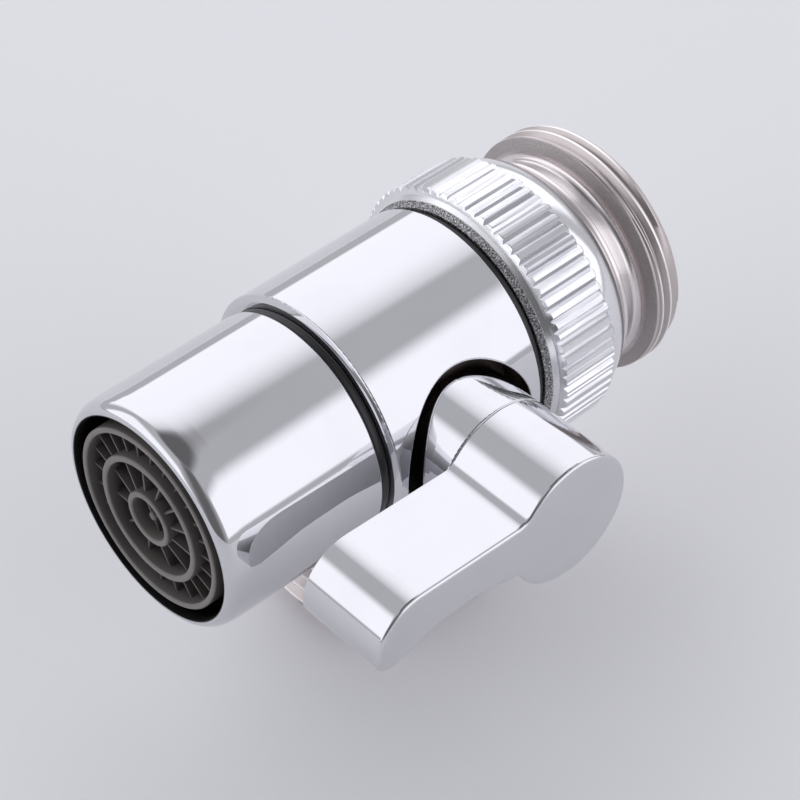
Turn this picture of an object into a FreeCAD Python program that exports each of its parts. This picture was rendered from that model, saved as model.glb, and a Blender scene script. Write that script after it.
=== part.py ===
"""Sink tap diverter valve: a quarter-turn ball valve between a swivelling inlet nut and an aerator.

Water enters along the main axis through the thread adapter. The lever turns a T-bored ball, which
sends the water on through the aerator, or out through the side outlet.

Frame: the origin is the centre of the outlet's end face, where the valve stands. +X runs along the
main axis towards the inlet, -Y towards the lever and +Z up, away from the outlet. Every piece is
modelled about the point where the three axes cross, and lifted by AXIS_HEIGHT as it is written.
"""
import FreeCAD
import Part

import math
import os

Vector = FreeCAD.Vector

# Overall sizes, in millimetres
AXIS_HEIGHT = 24.2
BODY_DIAMETER = 24.0
BODY_LENGTH = 16.8
BARREL_DIAMETER = 22.0
BARREL_LENGTH = 16.7
NUT_DIAMETER = 26.4
NUT_LENGTH = 10.15
LEVER_REACH = 22.0
LEVER_WIDTH = 9.0

# Clearances
RUNNING_CLEARANCE = 0.05
THREAD_CLEARANCE = 0.05
FACE_GAP = 0.1

# Valve body
BODY_EDGE = 0.15
BODY_BEVEL_WIDTH = 0.65
BODY_BEVEL_DEPTH = 0.2
CHAMBER_RADIUS = 6.8
SPIGOT_THREAD_RADIUS = 7.9
SPIGOT_THREAD_LENGTH = 2.8
LOWER_SPIGOT_RADIUS = 9.75
LOWER_SPIGOT_LENGTH = 6.0
WATERWAY_RADIUS = 4.2
OUTLET_BOSS_RADIUS = 8.2
OUTLET_BOSS_PROUD = 0.8
RECESS_FLOOR = 8.6

# Ball, its seats and its slot
BALL_RADIUS = 6.5
BALL_BORE_RADIUS = 3.2
BALL_SLOT_WIDTH = 2.6
BALL_SLOT_LENGTH = 6.8
BALL_SLOT_DEPTH = 1.9
SEAT_OUTER_RADIUS = 4.8
SEAT_INNER_RADIUS = 3.4
SEAT_LENGTH = 3.35

# Stem, its washer and its two rings
STEM_RADIUS = 3.3
STEM_FLANGE_RADIUS = STEM_RADIUS + 1.0
STEM_FLANGE_THICKNESS = 1.2
STEM_SQUARE = 1.4 * STEM_RADIUS
STEM_SQUARE_LENGTH = 5.9
STEM_GROOVE_RADIUS = STEM_RADIUS - 1.0
STEM_GROOVE_WIDTH = 1.2
STEM_GROOVE_PLACES = (1.9, 4.2)
STEM_WASHER_THICKNESS = 0.5

# Quarter-turn stop: a lug in the bonnet and a gap in the stem's flange
TURN_DEGREES = 90.0
STOP_LUG_DEGREES = 40.0
STOP_LUG_CENTRE = 45.0
STOP_PLAY_DEGREES = 1.0
STOP_CORE_RADIUS = STEM_RADIUS

# Bonnet, whose collar shows between the body and the lever
BONNET_THREAD_RADIUS = STEM_FLANGE_RADIUS + 1.1
BONNET_THREAD_LENGTH = 2.7
COLLAR_RADIUS = BONNET_THREAD_RADIUS + 1.0
COLLAR_LENGTH = 6.4
BONNET_EDGE = 0.2
RECESS_RADIUS = COLLAR_RADIUS + 0.9
RECESS_EDGE = 0.15

# Lever
BOSS_RADIUS = COLLAR_RADIUS
WAIST_FILLET = 1.8
ARM_TOP_AT_BOSS = 3.2
ARM_TOP_AT_TIP = 4.1
ARM_BOTTOM = 3.1
ARM_ARCH = 2.0
ARM_ARCH_FLAT = 5.4
ARM_ARCH_SHIFT = 1.4
ARM_ARCH_RADIUS = 8.0
TIP_TOP_RADIUS = 4.5
TIP_BOTTOM_RADIUS = 1.6
LEVER_EDGE = 0.35
LEVER_SCREW_RADIUS = 1.5
LEVER_SCREW_LENGTH = 3.6
LEVER_SCREW_PLACE = 3.6
LEVER_SCREW_SOCKET = 1.5

# Inlet spigot, which traps the nut and holds the inlet seat
SPIGOT_NECK_RADIUS = 8.1
SPIGOT_FLANGE_RADIUS = 9.4
SPIGOT_FLANGE_THICKNESS = 1.6
SPIGOT_BORE_RADIUS = 4.2
SPIGOT_HEX = 10.0
SPIGOT_HEX_DEPTH = 3.4

# Swivel nut and its washer
SWIVEL_WASHER_THICKNESS = 0.8
SWIVEL_WASHER_RADIUS = 11.5
NUT_SHOULDER = 2.25
NUT_THREAD_RADIUS = 10.5
NUT_FACE_RADIUS = 12.4
NUT_CHAMFER_LENGTH = 1.75
KNURL_LENGTH = 5.5
NUT_BAND_RADIUS = 12.8
NUT_TOP_RADIUS = 11.5

# Thread adapter and the washers at its two ends
ADAPTER_THREAD_RADIUS = 12.0
ADAPTER_THREAD_LENGTH = 3.2
ADAPTER_BEVEL_LENGTH = 0.6
ADAPTER_BEVEL_RADIUS = 10.5
ADAPTER_RIM = 0.3
ADAPTER_NECK_RADIUS = 9.9
ADAPTER_NECK_LENGTH = 2.1
ADAPTER_NECK_HOLLOW = 0.8
ADAPTER_COLLAR_LENGTH = 1.2
ADAPTER_COLLAR_RADIUS = 10.9
ADAPTER_LOWER_LENGTH = 4.4
ADAPTER_BORE_RADIUS = 8.4
END_WASHER_RADIUS = 10.3
END_WASHER_THICKNESS = 1.6
INLET_WASHER_RADIUS = 9.9
INLET_WASHER_BORE = 6.2
STRAINER_THICKNESS = 0.4
STRAINER_HOLE_RADIUS = 0.6
STRAINER_PITCH = 1.7
STRAINER_RIM = 1.2

# Outlet nipple
OUTLET_THREAD_RADIUS = 10.48
OUTLET_THREAD_LENGTH = 10.2
OUTLET_END_CHAMFER = 0.3
OUTLET_TOP_CHAMFER = 0.9
OUTLET_BORE_RADIUS = 7.4
NIPPLE_THREAD_RADIUS = 6.95
NIPPLE_SEAL_SECTION = 0.8
NIPPLE_SEAL_GROOVE = 1.2
NIPPLE_SEAL_INSET = 0.5

# Aerator barrel and what it holds
BARREL_SEAL_THICKNESS = 0.9
BARREL_SEAL_RADIUS = 10.8
BARREL_MOUTH_RADIUS = LOWER_SPIGOT_RADIUS + THREAD_CLEARANCE
BARREL_LIP_ROUND = 1.1
BARREL_MOUTH_ROUND = 0.25
BARREL_TOP_CHAMFER = 0.2
BARREL_RIB_DEPTH = 5.0
BARREL_RIB_LENGTH = 1.4
BARREL_RIB_RADIUS = LOWER_SPIGOT_RADIUS - 0.65
AERATOR_WASHER_THICKNESS = 1.8
AERATOR_WASHER_BORE = 6.8
AERATOR_SCREEN_THICKNESS = 0.3
JET_PLATE_THICKNESS = 1.9
JET_PLATE_RADIUS = LOWER_SPIGOT_RADIUS - 0.25
JET_HOLE_RADIUS = 0.45
JET_RINGS = ((0.74 * LOWER_SPIGOT_RADIUS, 24), (0.47 * LOWER_SPIGOT_RADIUS, 12))
JET_RIM = 0.8

# Aerator grille: three rings joined by fins
GRILLE_FLANGE_RADIUS = LOWER_SPIGOT_RADIUS - 0.05
GRILLE_ROOT_RADIUS = BARREL_RIB_RADIUS - 0.15
GRILLE_FACE_RADIUS = GRILLE_ROOT_RADIUS - 0.2
GRILLE_WALL = 0.5
GRILLE_MID_RING = (5.5, 6.1)
GRILLE_HUB_RING = (2.12, 2.63)
GRILLE_RING_DEPTH = 4.0
GRILLE_RING_EDGE = 0.12
GRILLE_FIN_RECESS = 0.35
GRILLE_HUB_RECESS = 0.9
GRILLE_FINS_OUTER = 24
GRILLE_FINS_INNER = 12
GRILLE_HUB_SPOKES = 3
GRILLE_FIN_THICKNESS = 0.32
GRILLE_HUB_BOSS_RADIUS = 0.45

# Places along the main axis, worked out from the sizes above
BODY_INLET_FACE = BODY_LENGTH / 2
BODY_AERATOR_FACE = -BODY_LENGTH / 2
SEAT_START = SEAT_OUTER_RADIUS + RUNNING_CLEARANCE
SEAT_END = SEAT_START + SEAT_LENGTH
SPIGOT_NOSE = max(BODY_INLET_FACE - SPIGOT_THREAD_LENGTH, BONNET_THREAD_RADIUS + 2 * FACE_GAP)
NUT_START = BODY_INLET_FACE + SWIVEL_WASHER_THICKNESS + RUNNING_CLEARANCE
NUT_END = NUT_START + NUT_LENGTH
SPIGOT_FLANGE_START = NUT_START + NUT_SHOULDER + FACE_GAP
SPIGOT_END = SPIGOT_FLANGE_START + SPIGOT_FLANGE_THICKNESS
ADAPTER_START = NUT_END - ADAPTER_LOWER_LENGTH
ADAPTER_NECK_START = NUT_END + ADAPTER_COLLAR_LENGTH
ADAPTER_BEVEL_START = ADAPTER_NECK_START + ADAPTER_NECK_LENGTH
ADAPTER_END = ADAPTER_BEVEL_START + ADAPTER_BEVEL_LENGTH + ADAPTER_THREAD_LENGTH
BARREL_TOP = BODY_AERATOR_FACE - BARREL_SEAL_THICKNESS
BARREL_LIP = BARREL_TOP - BARREL_LENGTH
LOWER_SPIGOT_END = BODY_AERATOR_FACE - LOWER_SPIGOT_LENGTH
BARREL_RIB_TOP = BARREL_LIP + BARREL_RIB_DEPTH + BARREL_RIB_LENGTH

# Places along the lever's axis, counted outwards from the ball's centre
BONNET_INNER_END = RECESS_FLOOR - BONNET_THREAD_LENGTH
COLLAR_FACE = RECESS_FLOOR + COLLAR_LENGTH
LEVER_INNER_FACE = COLLAR_FACE + FACE_GAP
LEVER_OUTER_FACE = LEVER_INNER_FACE + LEVER_WIDTH
STEM_FLANGE_INNER = BALL_RADIUS + FACE_GAP
STEM_FLANGE_OUTER = STEM_FLANGE_INNER + STEM_FLANGE_THICKNESS
STEM_WASHER_INNER = STEM_FLANGE_OUTER + RUNNING_CLEARANCE
STEM_WASHER_OUTER = STEM_WASHER_INNER + STEM_WASHER_THICKNESS
STEM_SQUARE_START = LEVER_INNER_FACE

# Places along the outlet's axis, counted downwards from the ball's centre
OUTLET_BOSS_FACE = BODY_DIAMETER / 2 + OUTLET_BOSS_PROUD
OUTLET_THREAD_START = AXIS_HEIGHT - OUTLET_THREAD_LENGTH

TO_INLET = Vector(1, 0, 0)
TO_AERATOR = Vector(-1, 0, 0)
TO_LEVER = Vector(0, -1, 0)
TO_OUTLET = Vector(0, 0, -1)
UP = Vector(0, 0, 1)
CENTRE = Vector(0, 0, 0)
REACH = 3 * BODY_DIAMETER


def outline(corners):
    """A closed wire in the XZ plane through corners (u, v) or (u, v, rounding radius)."""
    points = [Vector(corner[0], 0, corner[1]) for corner in corners]
    radii = [corner[2] if len(corner) > 2 else 0.0 for corner in corners]
    count = len(points)
    runs = []
    for i in range(count):
        point, radius = points[i], radii[i]
        if radius == 0:
            runs.append((point, None, point))
            continue
        back = (points[i - 1] - point).normalize()
        ahead = (points[(i + 1) % count] - point).normalize()
        half = back.getAngle(ahead) / 2
        reach = radius / math.tan(half)
        inward = (back + ahead).normalize()
        middle = point + inward * (radius / math.sin(half) - radius)
        runs.append((point + back * reach, middle, point + ahead * reach))
    edges = []
    for i in range(count):
        start, middle, end = runs[i]
        if middle is not None:
            edges.append(Part.Arc(start, middle, end).toShape())
        following = runs[(i + 1) % count][0]
        if end.distanceToPoint(following) > 1e-6:
            edges.append(Part.LineSegment(end, following).toShape())
    return Part.Wire(edges)


def towards(shape, direction):
    """Turn a shape built along +X so that it runs along a direction."""
    turned_shape = shape.copy()
    turned_shape.Placement = FreeCAD.Placement(CENTRE, FreeCAD.Rotation(TO_INLET, direction))
    return turned_shape


def turned(corners, direction=TO_INLET):
    """A turned solid from a half section of corners (distance along the axis, radius)."""
    section = Part.Face(outline(corners))
    return towards(section.revolve(CENTRE, TO_INLET, 360), direction)


def ring(inner_radius, outer_radius, start, end, direction=TO_INLET):
    """A plain turned ring between two places along a direction."""
    corners = [(start, inner_radius), (end, inner_radius), (end, outer_radius), (start, outer_radius)]
    return turned(corners, direction)


def rod(radius, start, end, direction=TO_INLET):
    """A plain cylinder between two places along a direction."""
    return Part.makeCylinder(radius, end - start, direction * start, direction)


def prism(corners, start, end):
    """A solid with an XZ outline, between two distances towards the lever."""
    face = Part.Face(outline(corners))
    face.translate(TO_LEVER * start)
    return face.extrude(TO_LEVER * (end - start))


def hexagon(across_flats, start, end, direction=TO_INLET):
    """A hexagonal prism between two places along a direction."""
    corner_radius = across_flats / math.sqrt(3)
    points = [
        Vector(start, corner_radius * math.cos(math.radians(angle)), corner_radius * math.sin(math.radians(angle)))
        for angle in range(0, 361, 60)
    ]
    face = Part.Face(Part.makePolygon(points))
    return towards(face.extrude(TO_INLET * (end - start)), direction)


def seal_ring(section, middle_radius, place, direction=TO_INLET):
    """A round-section sealing ring about a direction."""
    return Part.makeTorus(middle_radius, section / 2, direction * place, direction)


def wedge(start_degrees, end_degrees, start, end):
    """A wedge about the lever's axis, its angles counted from +Z towards +X."""
    angles = [start_degrees, (start_degrees + end_degrees) / 2, end_degrees]
    rim = [(REACH * math.sin(math.radians(a)), REACH * math.cos(math.radians(a))) for a in angles]
    return prism([(0, 0)] + rim, start, end)


def round_edges(shape, radius, chosen):
    """Round the edges of a shape that a test chooses."""
    edges = [edge for edge in shape.Edges if chosen(edge)]
    return shape.makeFillet(radius, edges)


def drilled_disc(radius, start, thickness, hole_radius, pitch, rim):
    """A thin disc with a staggered field of round holes inside a plain rim."""
    holes = []
    field = radius - rim - hole_radius
    rows = int(field / (pitch * math.sin(math.radians(60))))
    for row in range(-rows, rows + 1):
        across = row * pitch * math.sin(math.radians(60))
        shift = pitch / 2 if row % 2 else 0.0
        steps = int(2 * field / pitch)
        for step in range(-steps, steps + 1):
            along = step * pitch + shift
            if math.hypot(across, along) > field:
                continue
            hole = Part.makeCylinder(hole_radius, 3 * thickness, Vector(start - thickness, across, along), TO_INLET)
            holes.append(hole)
    return rod(radius, start, start + thickness).cut(holes)


def make_valve_body():
    """Chromed brass body with the ball's chamber, three ports and the recess for the bonnet."""
    radius = BODY_DIAMETER / 2
    edge = BODY_EDGE
    shell = turned([
        (BODY_AERATOR_FACE, 0),
        (BODY_INLET_FACE, 0),
        (BODY_INLET_FACE, radius, edge),
        (BODY_AERATOR_FACE + BODY_BEVEL_DEPTH, radius, edge),
        (BODY_AERATOR_FACE, radius - BODY_BEVEL_WIDTH),
    ])
    boss = rod(OUTLET_BOSS_RADIUS, 0, OUTLET_BOSS_FACE, TO_OUTLET)
    lower = rod(LOWER_SPIGOT_RADIUS, -BODY_AERATOR_FACE, -LOWER_SPIGOT_END, TO_AERATOR)
    body = shell.fuse([boss, lower])
    flare = LOWER_SPIGOT_RADIUS - 2
    waterway = turned([
        (SEAT_END, 0),
        (-LOWER_SPIGOT_END, 0),
        (-LOWER_SPIGOT_END, flare),
        (SEAT_END + 1, WATERWAY_RADIUS),
        (SEAT_END, WATERWAY_RADIUS),
    ], TO_AERATOR)
    cuts = [
        rod(SPIGOT_THREAD_RADIUS + THREAD_CLEARANCE, SPIGOT_NOSE, BODY_INLET_FACE),
        rod(CHAMBER_RADIUS, -SEAT_START, SPIGOT_NOSE),
        rod(SEAT_OUTER_RADIUS, SEAT_START, SEAT_END, TO_AERATOR),
        waterway,
        rod(SEAT_OUTER_RADIUS, 0, SEAT_END, TO_OUTLET),
        rod(NIPPLE_THREAD_RADIUS + THREAD_CLEARANCE, SEAT_END, OUTLET_BOSS_FACE, TO_OUTLET),
        rod(BONNET_THREAD_RADIUS + THREAD_CLEARANCE, BONNET_INNER_END - 1, RECESS_FLOOR, TO_LEVER),
        rod(RECESS_RADIUS, RECESS_FLOOR, BODY_DIAMETER, TO_LEVER),
    ]
    body = body.cut(cuts)

    def on_recess_mouth(edge):
        points = [edge.valueAt(edge.FirstParameter), edge.valueAt((edge.FirstParameter + edge.LastParameter) / 2)]
        on_body = all(abs(math.hypot(point.y, point.z) - radius) < 1e-3 for point in points)
        on_recess = all(abs(math.hypot(point.x, point.z) - RECESS_RADIUS) < 1e-3 for point in points)
        return on_body and on_recess

    return round_edges(body, RECESS_EDGE, on_recess_mouth)


def make_seat(direction):
    """Soft seat ring whose inner face is hollowed to fit the ball."""
    blank = ring(SEAT_INNER_RADIUS, SEAT_OUTER_RADIUS, SEAT_START, SEAT_END, direction)
    return blank.cut(Part.makeSphere(BALL_RADIUS + RUNNING_CLEARANCE))


def make_ball():
    """Ball with a T bore and a slot across its top for the stem's tang."""
    ball = Part.makeSphere(BALL_RADIUS)
    slot_floor = BALL_RADIUS - BALL_SLOT_DEPTH
    width, length = BALL_SLOT_WIDTH / 2, BALL_SLOT_LENGTH / 2
    slot = prism([(-width, -length), (width, -length), (width, length), (-width, length)],
                 slot_floor, BALL_RADIUS + 1)
    through = rod(BALL_BORE_RADIUS, -BALL_RADIUS - 1, BALL_RADIUS + 1)
    branch = rod(BALL_BORE_RADIUS, 0, BALL_RADIUS + 1, UP)
    return ball.cut([through, branch, slot])


def make_stem():
    """Stem with a tang, a flange with the stop's gap, two ring grooves and a square end."""
    shaft = rod(STEM_RADIUS, STEM_FLANGE_INNER, STEM_SQUARE_START, TO_LEVER)
    gap_start = STOP_LUG_CENTRE - STOP_LUG_DEGREES / 2 - TURN_DEGREES - STOP_PLAY_DEGREES
    gap_end = STOP_LUG_CENTRE + STOP_LUG_DEGREES / 2 + STOP_PLAY_DEGREES
    rim = ring(STOP_CORE_RADIUS, STEM_FLANGE_RADIUS, STEM_FLANGE_INNER, STEM_FLANGE_OUTER, TO_LEVER)
    rim = rim.cut(wedge(gap_start, gap_end, STEM_FLANGE_INNER, STEM_FLANGE_OUTER))
    width = BALL_SLOT_WIDTH / 2 - FACE_GAP
    length = BALL_SLOT_LENGTH / 2 - FACE_GAP
    tang = prism([(-width, -length), (width, -length), (width, length), (-width, length)],
                 BALL_RADIUS - BALL_SLOT_DEPTH + FACE_GAP, STEM_FLANGE_INNER)
    tang = tang.common(rod(STEM_RADIUS, 0, STEM_FLANGE_INNER, TO_LEVER))
    half = STEM_SQUARE / 2
    square = prism([(-half, -half), (half, -half), (half, half), (-half, half)],
                   STEM_SQUARE_START, STEM_SQUARE_START + STEM_SQUARE_LENGTH)
    square = square.common(rod(STEM_RADIUS, STEM_SQUARE_START,
                               STEM_SQUARE_START + STEM_SQUARE_LENGTH, TO_LEVER))
    grooves = [
        ring(STEM_GROOVE_RADIUS, STEM_RADIUS + 1, place - STEM_GROOVE_WIDTH / 2,
             place + STEM_GROOVE_WIDTH / 2, TO_LEVER)
        for place in stem_seal_places()
    ]
    return shaft.fuse([rim, tang, square]).cut(grooves).removeSplitter()


def stem_seal_places():
    """Middle of each stem groove, counted out from the ball's centre."""
    return [STEM_WASHER_OUTER + place for place in STEM_GROOVE_PLACES]


def make_stem_seal(place):
    """Round-section ring in one of the stem's grooves."""
    section = STEM_RADIUS - STEM_GROOVE_RADIUS
    return seal_ring(section, STEM_GROOVE_RADIUS + section / 2, place, TO_LEVER)


def make_stem_washer():
    """Low-friction washer between the stem's flange and the bonnet."""
    return ring(STEM_RADIUS + RUNNING_CLEARANCE, STEM_FLANGE_RADIUS,
                STEM_WASHER_INNER, STEM_WASHER_OUTER, TO_LEVER)


def make_bonnet():
    """Bonnet that screws into the recess, with the stop's lug inside and the collar outside."""
    bore = STEM_RADIUS + RUNNING_CLEARANCE
    pocket = STEM_FLANGE_RADIUS + FACE_GAP
    blank = turned([
        (BONNET_INNER_END, pocket),
        (STEM_WASHER_OUTER, pocket),
        (STEM_WASHER_OUTER, bore),
        (COLLAR_FACE, bore),
        (COLLAR_FACE, COLLAR_RADIUS, BONNET_EDGE),
        (RECESS_FLOOR, COLLAR_RADIUS),
        (RECESS_FLOOR, BONNET_THREAD_RADIUS),
        (BONNET_INNER_END, BONNET_THREAD_RADIUS),
    ], TO_LEVER)
    lug = ring(STOP_CORE_RADIUS + FACE_GAP, pocket + FACE_GAP, STEM_FLANGE_INNER,
               STEM_FLANGE_OUTER - FACE_GAP, TO_LEVER)
    lug = lug.common(wedge(STOP_LUG_CENTRE - STOP_LUG_DEGREES / 2, STOP_LUG_CENTRE + STOP_LUG_DEGREES / 2,
                           STEM_FLANGE_INNER, STEM_FLANGE_OUTER))
    return blank.fuse(lug).removeSplitter()


def lever_arm_face():
    """Side outline of the lever's arm: a straight top, an arched underside and a rounded tip."""
    tip = -LEVER_REACH
    arch = ARM_ARCH - ARM_BOTTOM
    arch_middle = (tip - BOSS_RADIUS) / 2 + ARM_ARCH_SHIFT
    return Part.Face(outline([
        (0, ARM_TOP_AT_BOSS),
        (tip, ARM_TOP_AT_TIP, TIP_TOP_RADIUS),
        (tip, -ARM_BOTTOM, TIP_BOTTOM_RADIUS),
        (arch_middle - ARM_ARCH_FLAT / 2, arch, ARM_ARCH_RADIUS),
        (arch_middle + ARM_ARCH_FLAT / 2, arch, ARM_ARCH_RADIUS),
        (-BOSS_RADIUS / 2, -ARM_BOTTOM),
        (0, -ARM_BOTTOM),
    ]))


def make_lever():
    """Cast lever: a round boss over the bonnet and a flat arm with softly rounded edges."""
    inner, outer = LEVER_INNER_FACE, LEVER_OUTER_FACE
    arm = lever_arm_face()
    arm.translate(TO_LEVER * inner)
    arm = arm.extrude(TO_LEVER * LEVER_WIDTH)
    blank = rod(BOSS_RADIUS, inner, outer, TO_LEVER).fuse(arm).removeSplitter()

    def in_waist(edge):
        start, end = edge.Vertexes[0].Point, edge.Vertexes[-1].Point
        along = abs(abs(start.y - end.y) - LEVER_WIDTH) < 1e-4
        from_axis = math.hypot(start.x, start.z)
        return along and start.x < -1 and abs(from_axis - BOSS_RADIUS) < 1e-3

    blank = round_edges(blank, WAIST_FILLET, in_waist)

    def on_outer_face(edge):
        return all(abs(-vertex.Point.y - outer) < 1e-4 for vertex in edge.Vertexes)

    blank = round_edges(blank, LEVER_EDGE, on_outer_face)
    half = STEM_SQUARE / 2 + THREAD_CLEARANCE
    socket_end = STEM_SQUARE_START + STEM_SQUARE_LENGTH + FACE_GAP
    socket = prism([(-half, -half), (half, -half), (half, half), (-half, half)], inner, socket_end)
    screw_hole = lever_screw_blank(LEVER_SCREW_RADIUS + THREAD_CLEARANCE, BOSS_RADIUS + 1)
    return blank.cut([socket, screw_hole])


def lever_screw_blank(radius, end):
    """Cylinder across the boss's underside, from the stem's flat outwards."""
    start = STEM_SQUARE / 2
    base = TO_LEVER * (LEVER_INNER_FACE + LEVER_SCREW_PLACE) + TO_OUTLET * start
    return Part.makeCylinder(radius, end - start, base, TO_OUTLET)


def make_lever_screw():
    """Grub screw that clamps the lever to the stem, with a hexagon socket."""
    end = STEM_SQUARE / 2 + LEVER_SCREW_LENGTH
    screw = lever_screw_blank(LEVER_SCREW_RADIUS, end)
    socket = hexagon(LEVER_SCREW_SOCKET, end - LEVER_SCREW_LENGTH / 2, end + 1, TO_OUTLET)
    socket.translate(TO_LEVER * (LEVER_INNER_FACE + LEVER_SCREW_PLACE))
    return screw.cut(socket)


def make_inlet_spigot():
    """Spigot screwed into the body: it backs the inlet seat and its flange holds the nut."""
    blank = turned([
        (SPIGOT_NOSE, SEAT_OUTER_RADIUS),
        (SEAT_END, SEAT_OUTER_RADIUS),
        (SEAT_END, SPIGOT_BORE_RADIUS),
        (SPIGOT_END, SPIGOT_BORE_RADIUS),
        (SPIGOT_END, SPIGOT_FLANGE_RADIUS),
        (SPIGOT_FLANGE_START, SPIGOT_FLANGE_RADIUS),
        (SPIGOT_FLANGE_START, SPIGOT_NECK_RADIUS),
        (BODY_INLET_FACE, SPIGOT_NECK_RADIUS),
        (BODY_INLET_FACE, SPIGOT_THREAD_RADIUS),
        (SPIGOT_NOSE, SPIGOT_THREAD_RADIUS),
    ])
    return blank.cut(hexagon(SPIGOT_HEX, SPIGOT_END - SPIGOT_HEX_DEPTH, SPIGOT_END))


def make_swivel_washer():
    """Black washer that shows as a thin dark line between the body and the nut."""
    end = BODY_INLET_FACE + SWIVEL_WASHER_THICKNESS
    return ring(SPIGOT_NECK_RADIUS + RUNNING_CLEARANCE, SWIVEL_WASHER_RADIUS, BODY_INLET_FACE, end)


def make_swivel_nut():
    """Nut that turns on the spigot: an inner shoulder, a bevelled foot and a coned top band."""
    shoulder_bore = SPIGOT_NECK_RADIUS + RUNNING_CLEARANCE
    knurl_start = NUT_START + NUT_CHAMFER_LENGTH
    knurl_end = knurl_start + KNURL_LENGTH
    radius = NUT_DIAMETER / 2
    return turned([
        (NUT_START, shoulder_bore),
        (NUT_START + NUT_SHOULDER, shoulder_bore),
        (NUT_START + NUT_SHOULDER, NUT_THREAD_RADIUS),
        (NUT_END, NUT_THREAD_RADIUS),
        (NUT_END, NUT_TOP_RADIUS, 0.4),
        (knurl_end + 0.4, NUT_BAND_RADIUS),
        (knurl_end, radius),
        (knurl_start, radius),
        (NUT_START, NUT_FACE_RADIUS),
    ])


def make_thread_adapter():
    """Adapter: a male thread that screws into the nut, a waisted neck and a larger male thread."""
    end = ADAPTER_END
    thread_start = ADAPTER_BEVEL_START + ADAPTER_BEVEL_LENGTH
    washer_seat = end - END_WASHER_THICKNESS
    blank = turned([
        (ADAPTER_START, ADAPTER_BORE_RADIUS),
        (washer_seat, ADAPTER_BORE_RADIUS),
        (washer_seat, END_WASHER_RADIUS + THREAD_CLEARANCE),
        (end, END_WASHER_RADIUS + THREAD_CLEARANCE),
        (end, ADAPTER_THREAD_RADIUS - ADAPTER_RIM),
        (end - ADAPTER_RIM, ADAPTER_THREAD_RADIUS),
        (thread_start, ADAPTER_THREAD_RADIUS),
        (ADAPTER_BEVEL_START, ADAPTER_BEVEL_RADIUS),
        (ADAPTER_BEVEL_START, ADAPTER_NECK_RADIUS, ADAPTER_NECK_HOLLOW / 2),
        (ADAPTER_NECK_START, ADAPTER_NECK_RADIUS, ADAPTER_NECK_HOLLOW),
        (ADAPTER_NECK_START, ADAPTER_COLLAR_RADIUS, 0.4),
        (NUT_END, ADAPTER_COLLAR_RADIUS),
        (NUT_END, NUT_THREAD_RADIUS - THREAD_CLEARANCE),
        (ADAPTER_START, NUT_THREAD_RADIUS - THREAD_CLEARANCE),
    ])
    return blank


def make_inlet_washer():
    """Rubber washer squeezed between the spigot's flange and the adapter."""
    return ring(INLET_WASHER_BORE, INLET_WASHER_RADIUS, SPIGOT_END + RUNNING_CLEARANCE, ADAPTER_START)


def make_inlet_strainer():
    """Perforated disc that lies on the inlet washer, inside the adapter's bore."""
    radius = ADAPTER_BORE_RADIUS - FACE_GAP
    return drilled_disc(radius, ADAPTER_START, STRAINER_THICKNESS, STRAINER_HOLE_RADIUS,
                        STRAINER_PITCH, STRAINER_RIM)


def make_end_washer():
    """Rubber washer sunk in the adapter's outer end, where the tap's spout meets it."""
    return ring(ADAPTER_BORE_RADIUS + FACE_GAP, END_WASHER_RADIUS,
                ADAPTER_END - END_WASHER_THICKNESS, ADAPTER_END - FACE_GAP)


def make_outlet_nipple():
    """Side outlet: screwed into the body's boss, with a half-inch pipe thread for a hose."""
    seal_start = OUTLET_BOSS_FACE - NIPPLE_SEAL_INSET - NIPPLE_SEAL_GROOVE
    seal_end = seal_start + NIPPLE_SEAL_GROOVE
    groove_radius = NIPPLE_THREAD_RADIUS + THREAD_CLEARANCE - NIPPLE_SEAL_SECTION
    return turned([
        (SEAT_END, WATERWAY_RADIUS),
        (OUTLET_BOSS_FACE - 1, WATERWAY_RADIUS),
        (OUTLET_THREAD_START + 1, OUTLET_BORE_RADIUS),
        (AXIS_HEIGHT, OUTLET_BORE_RADIUS),
        (AXIS_HEIGHT, OUTLET_THREAD_RADIUS - OUTLET_END_CHAMFER),
        (AXIS_HEIGHT - OUTLET_END_CHAMFER, OUTLET_THREAD_RADIUS),
        (OUTLET_THREAD_START + OUTLET_TOP_CHAMFER, OUTLET_THREAD_RADIUS),
        (OUTLET_THREAD_START, OUTLET_THREAD_RADIUS - OUTLET_TOP_CHAMFER),
        (OUTLET_THREAD_START, OUTLET_BOSS_RADIUS),
        (OUTLET_BOSS_FACE, OUTLET_BOSS_RADIUS),
        (OUTLET_BOSS_FACE, NIPPLE_THREAD_RADIUS),
        (seal_end, NIPPLE_THREAD_RADIUS),
        (seal_end, groove_radius),
        (seal_start, groove_radius),
        (seal_start, NIPPLE_THREAD_RADIUS),
        (SEAT_END, NIPPLE_THREAD_RADIUS),
    ], TO_OUTLET)


def make_outlet_seal():
    """Round-section ring that seals the nipple in the body."""
    bore = NIPPLE_THREAD_RADIUS + THREAD_CLEARANCE
    place = OUTLET_BOSS_FACE - NIPPLE_SEAL_INSET - NIPPLE_SEAL_GROOVE / 2
    return seal_ring(NIPPLE_SEAL_SECTION, bore - NIPPLE_SEAL_SECTION / 2, place, TO_OUTLET)


def make_barrel_seal():
    """Black ring that fills the groove between the body and the barrel."""
    return ring(LOWER_SPIGOT_RADIUS + THREAD_CLEARANCE, BARREL_SEAL_RADIUS,
                -BODY_AERATOR_FACE, -BARREL_TOP, TO_AERATOR)


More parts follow.
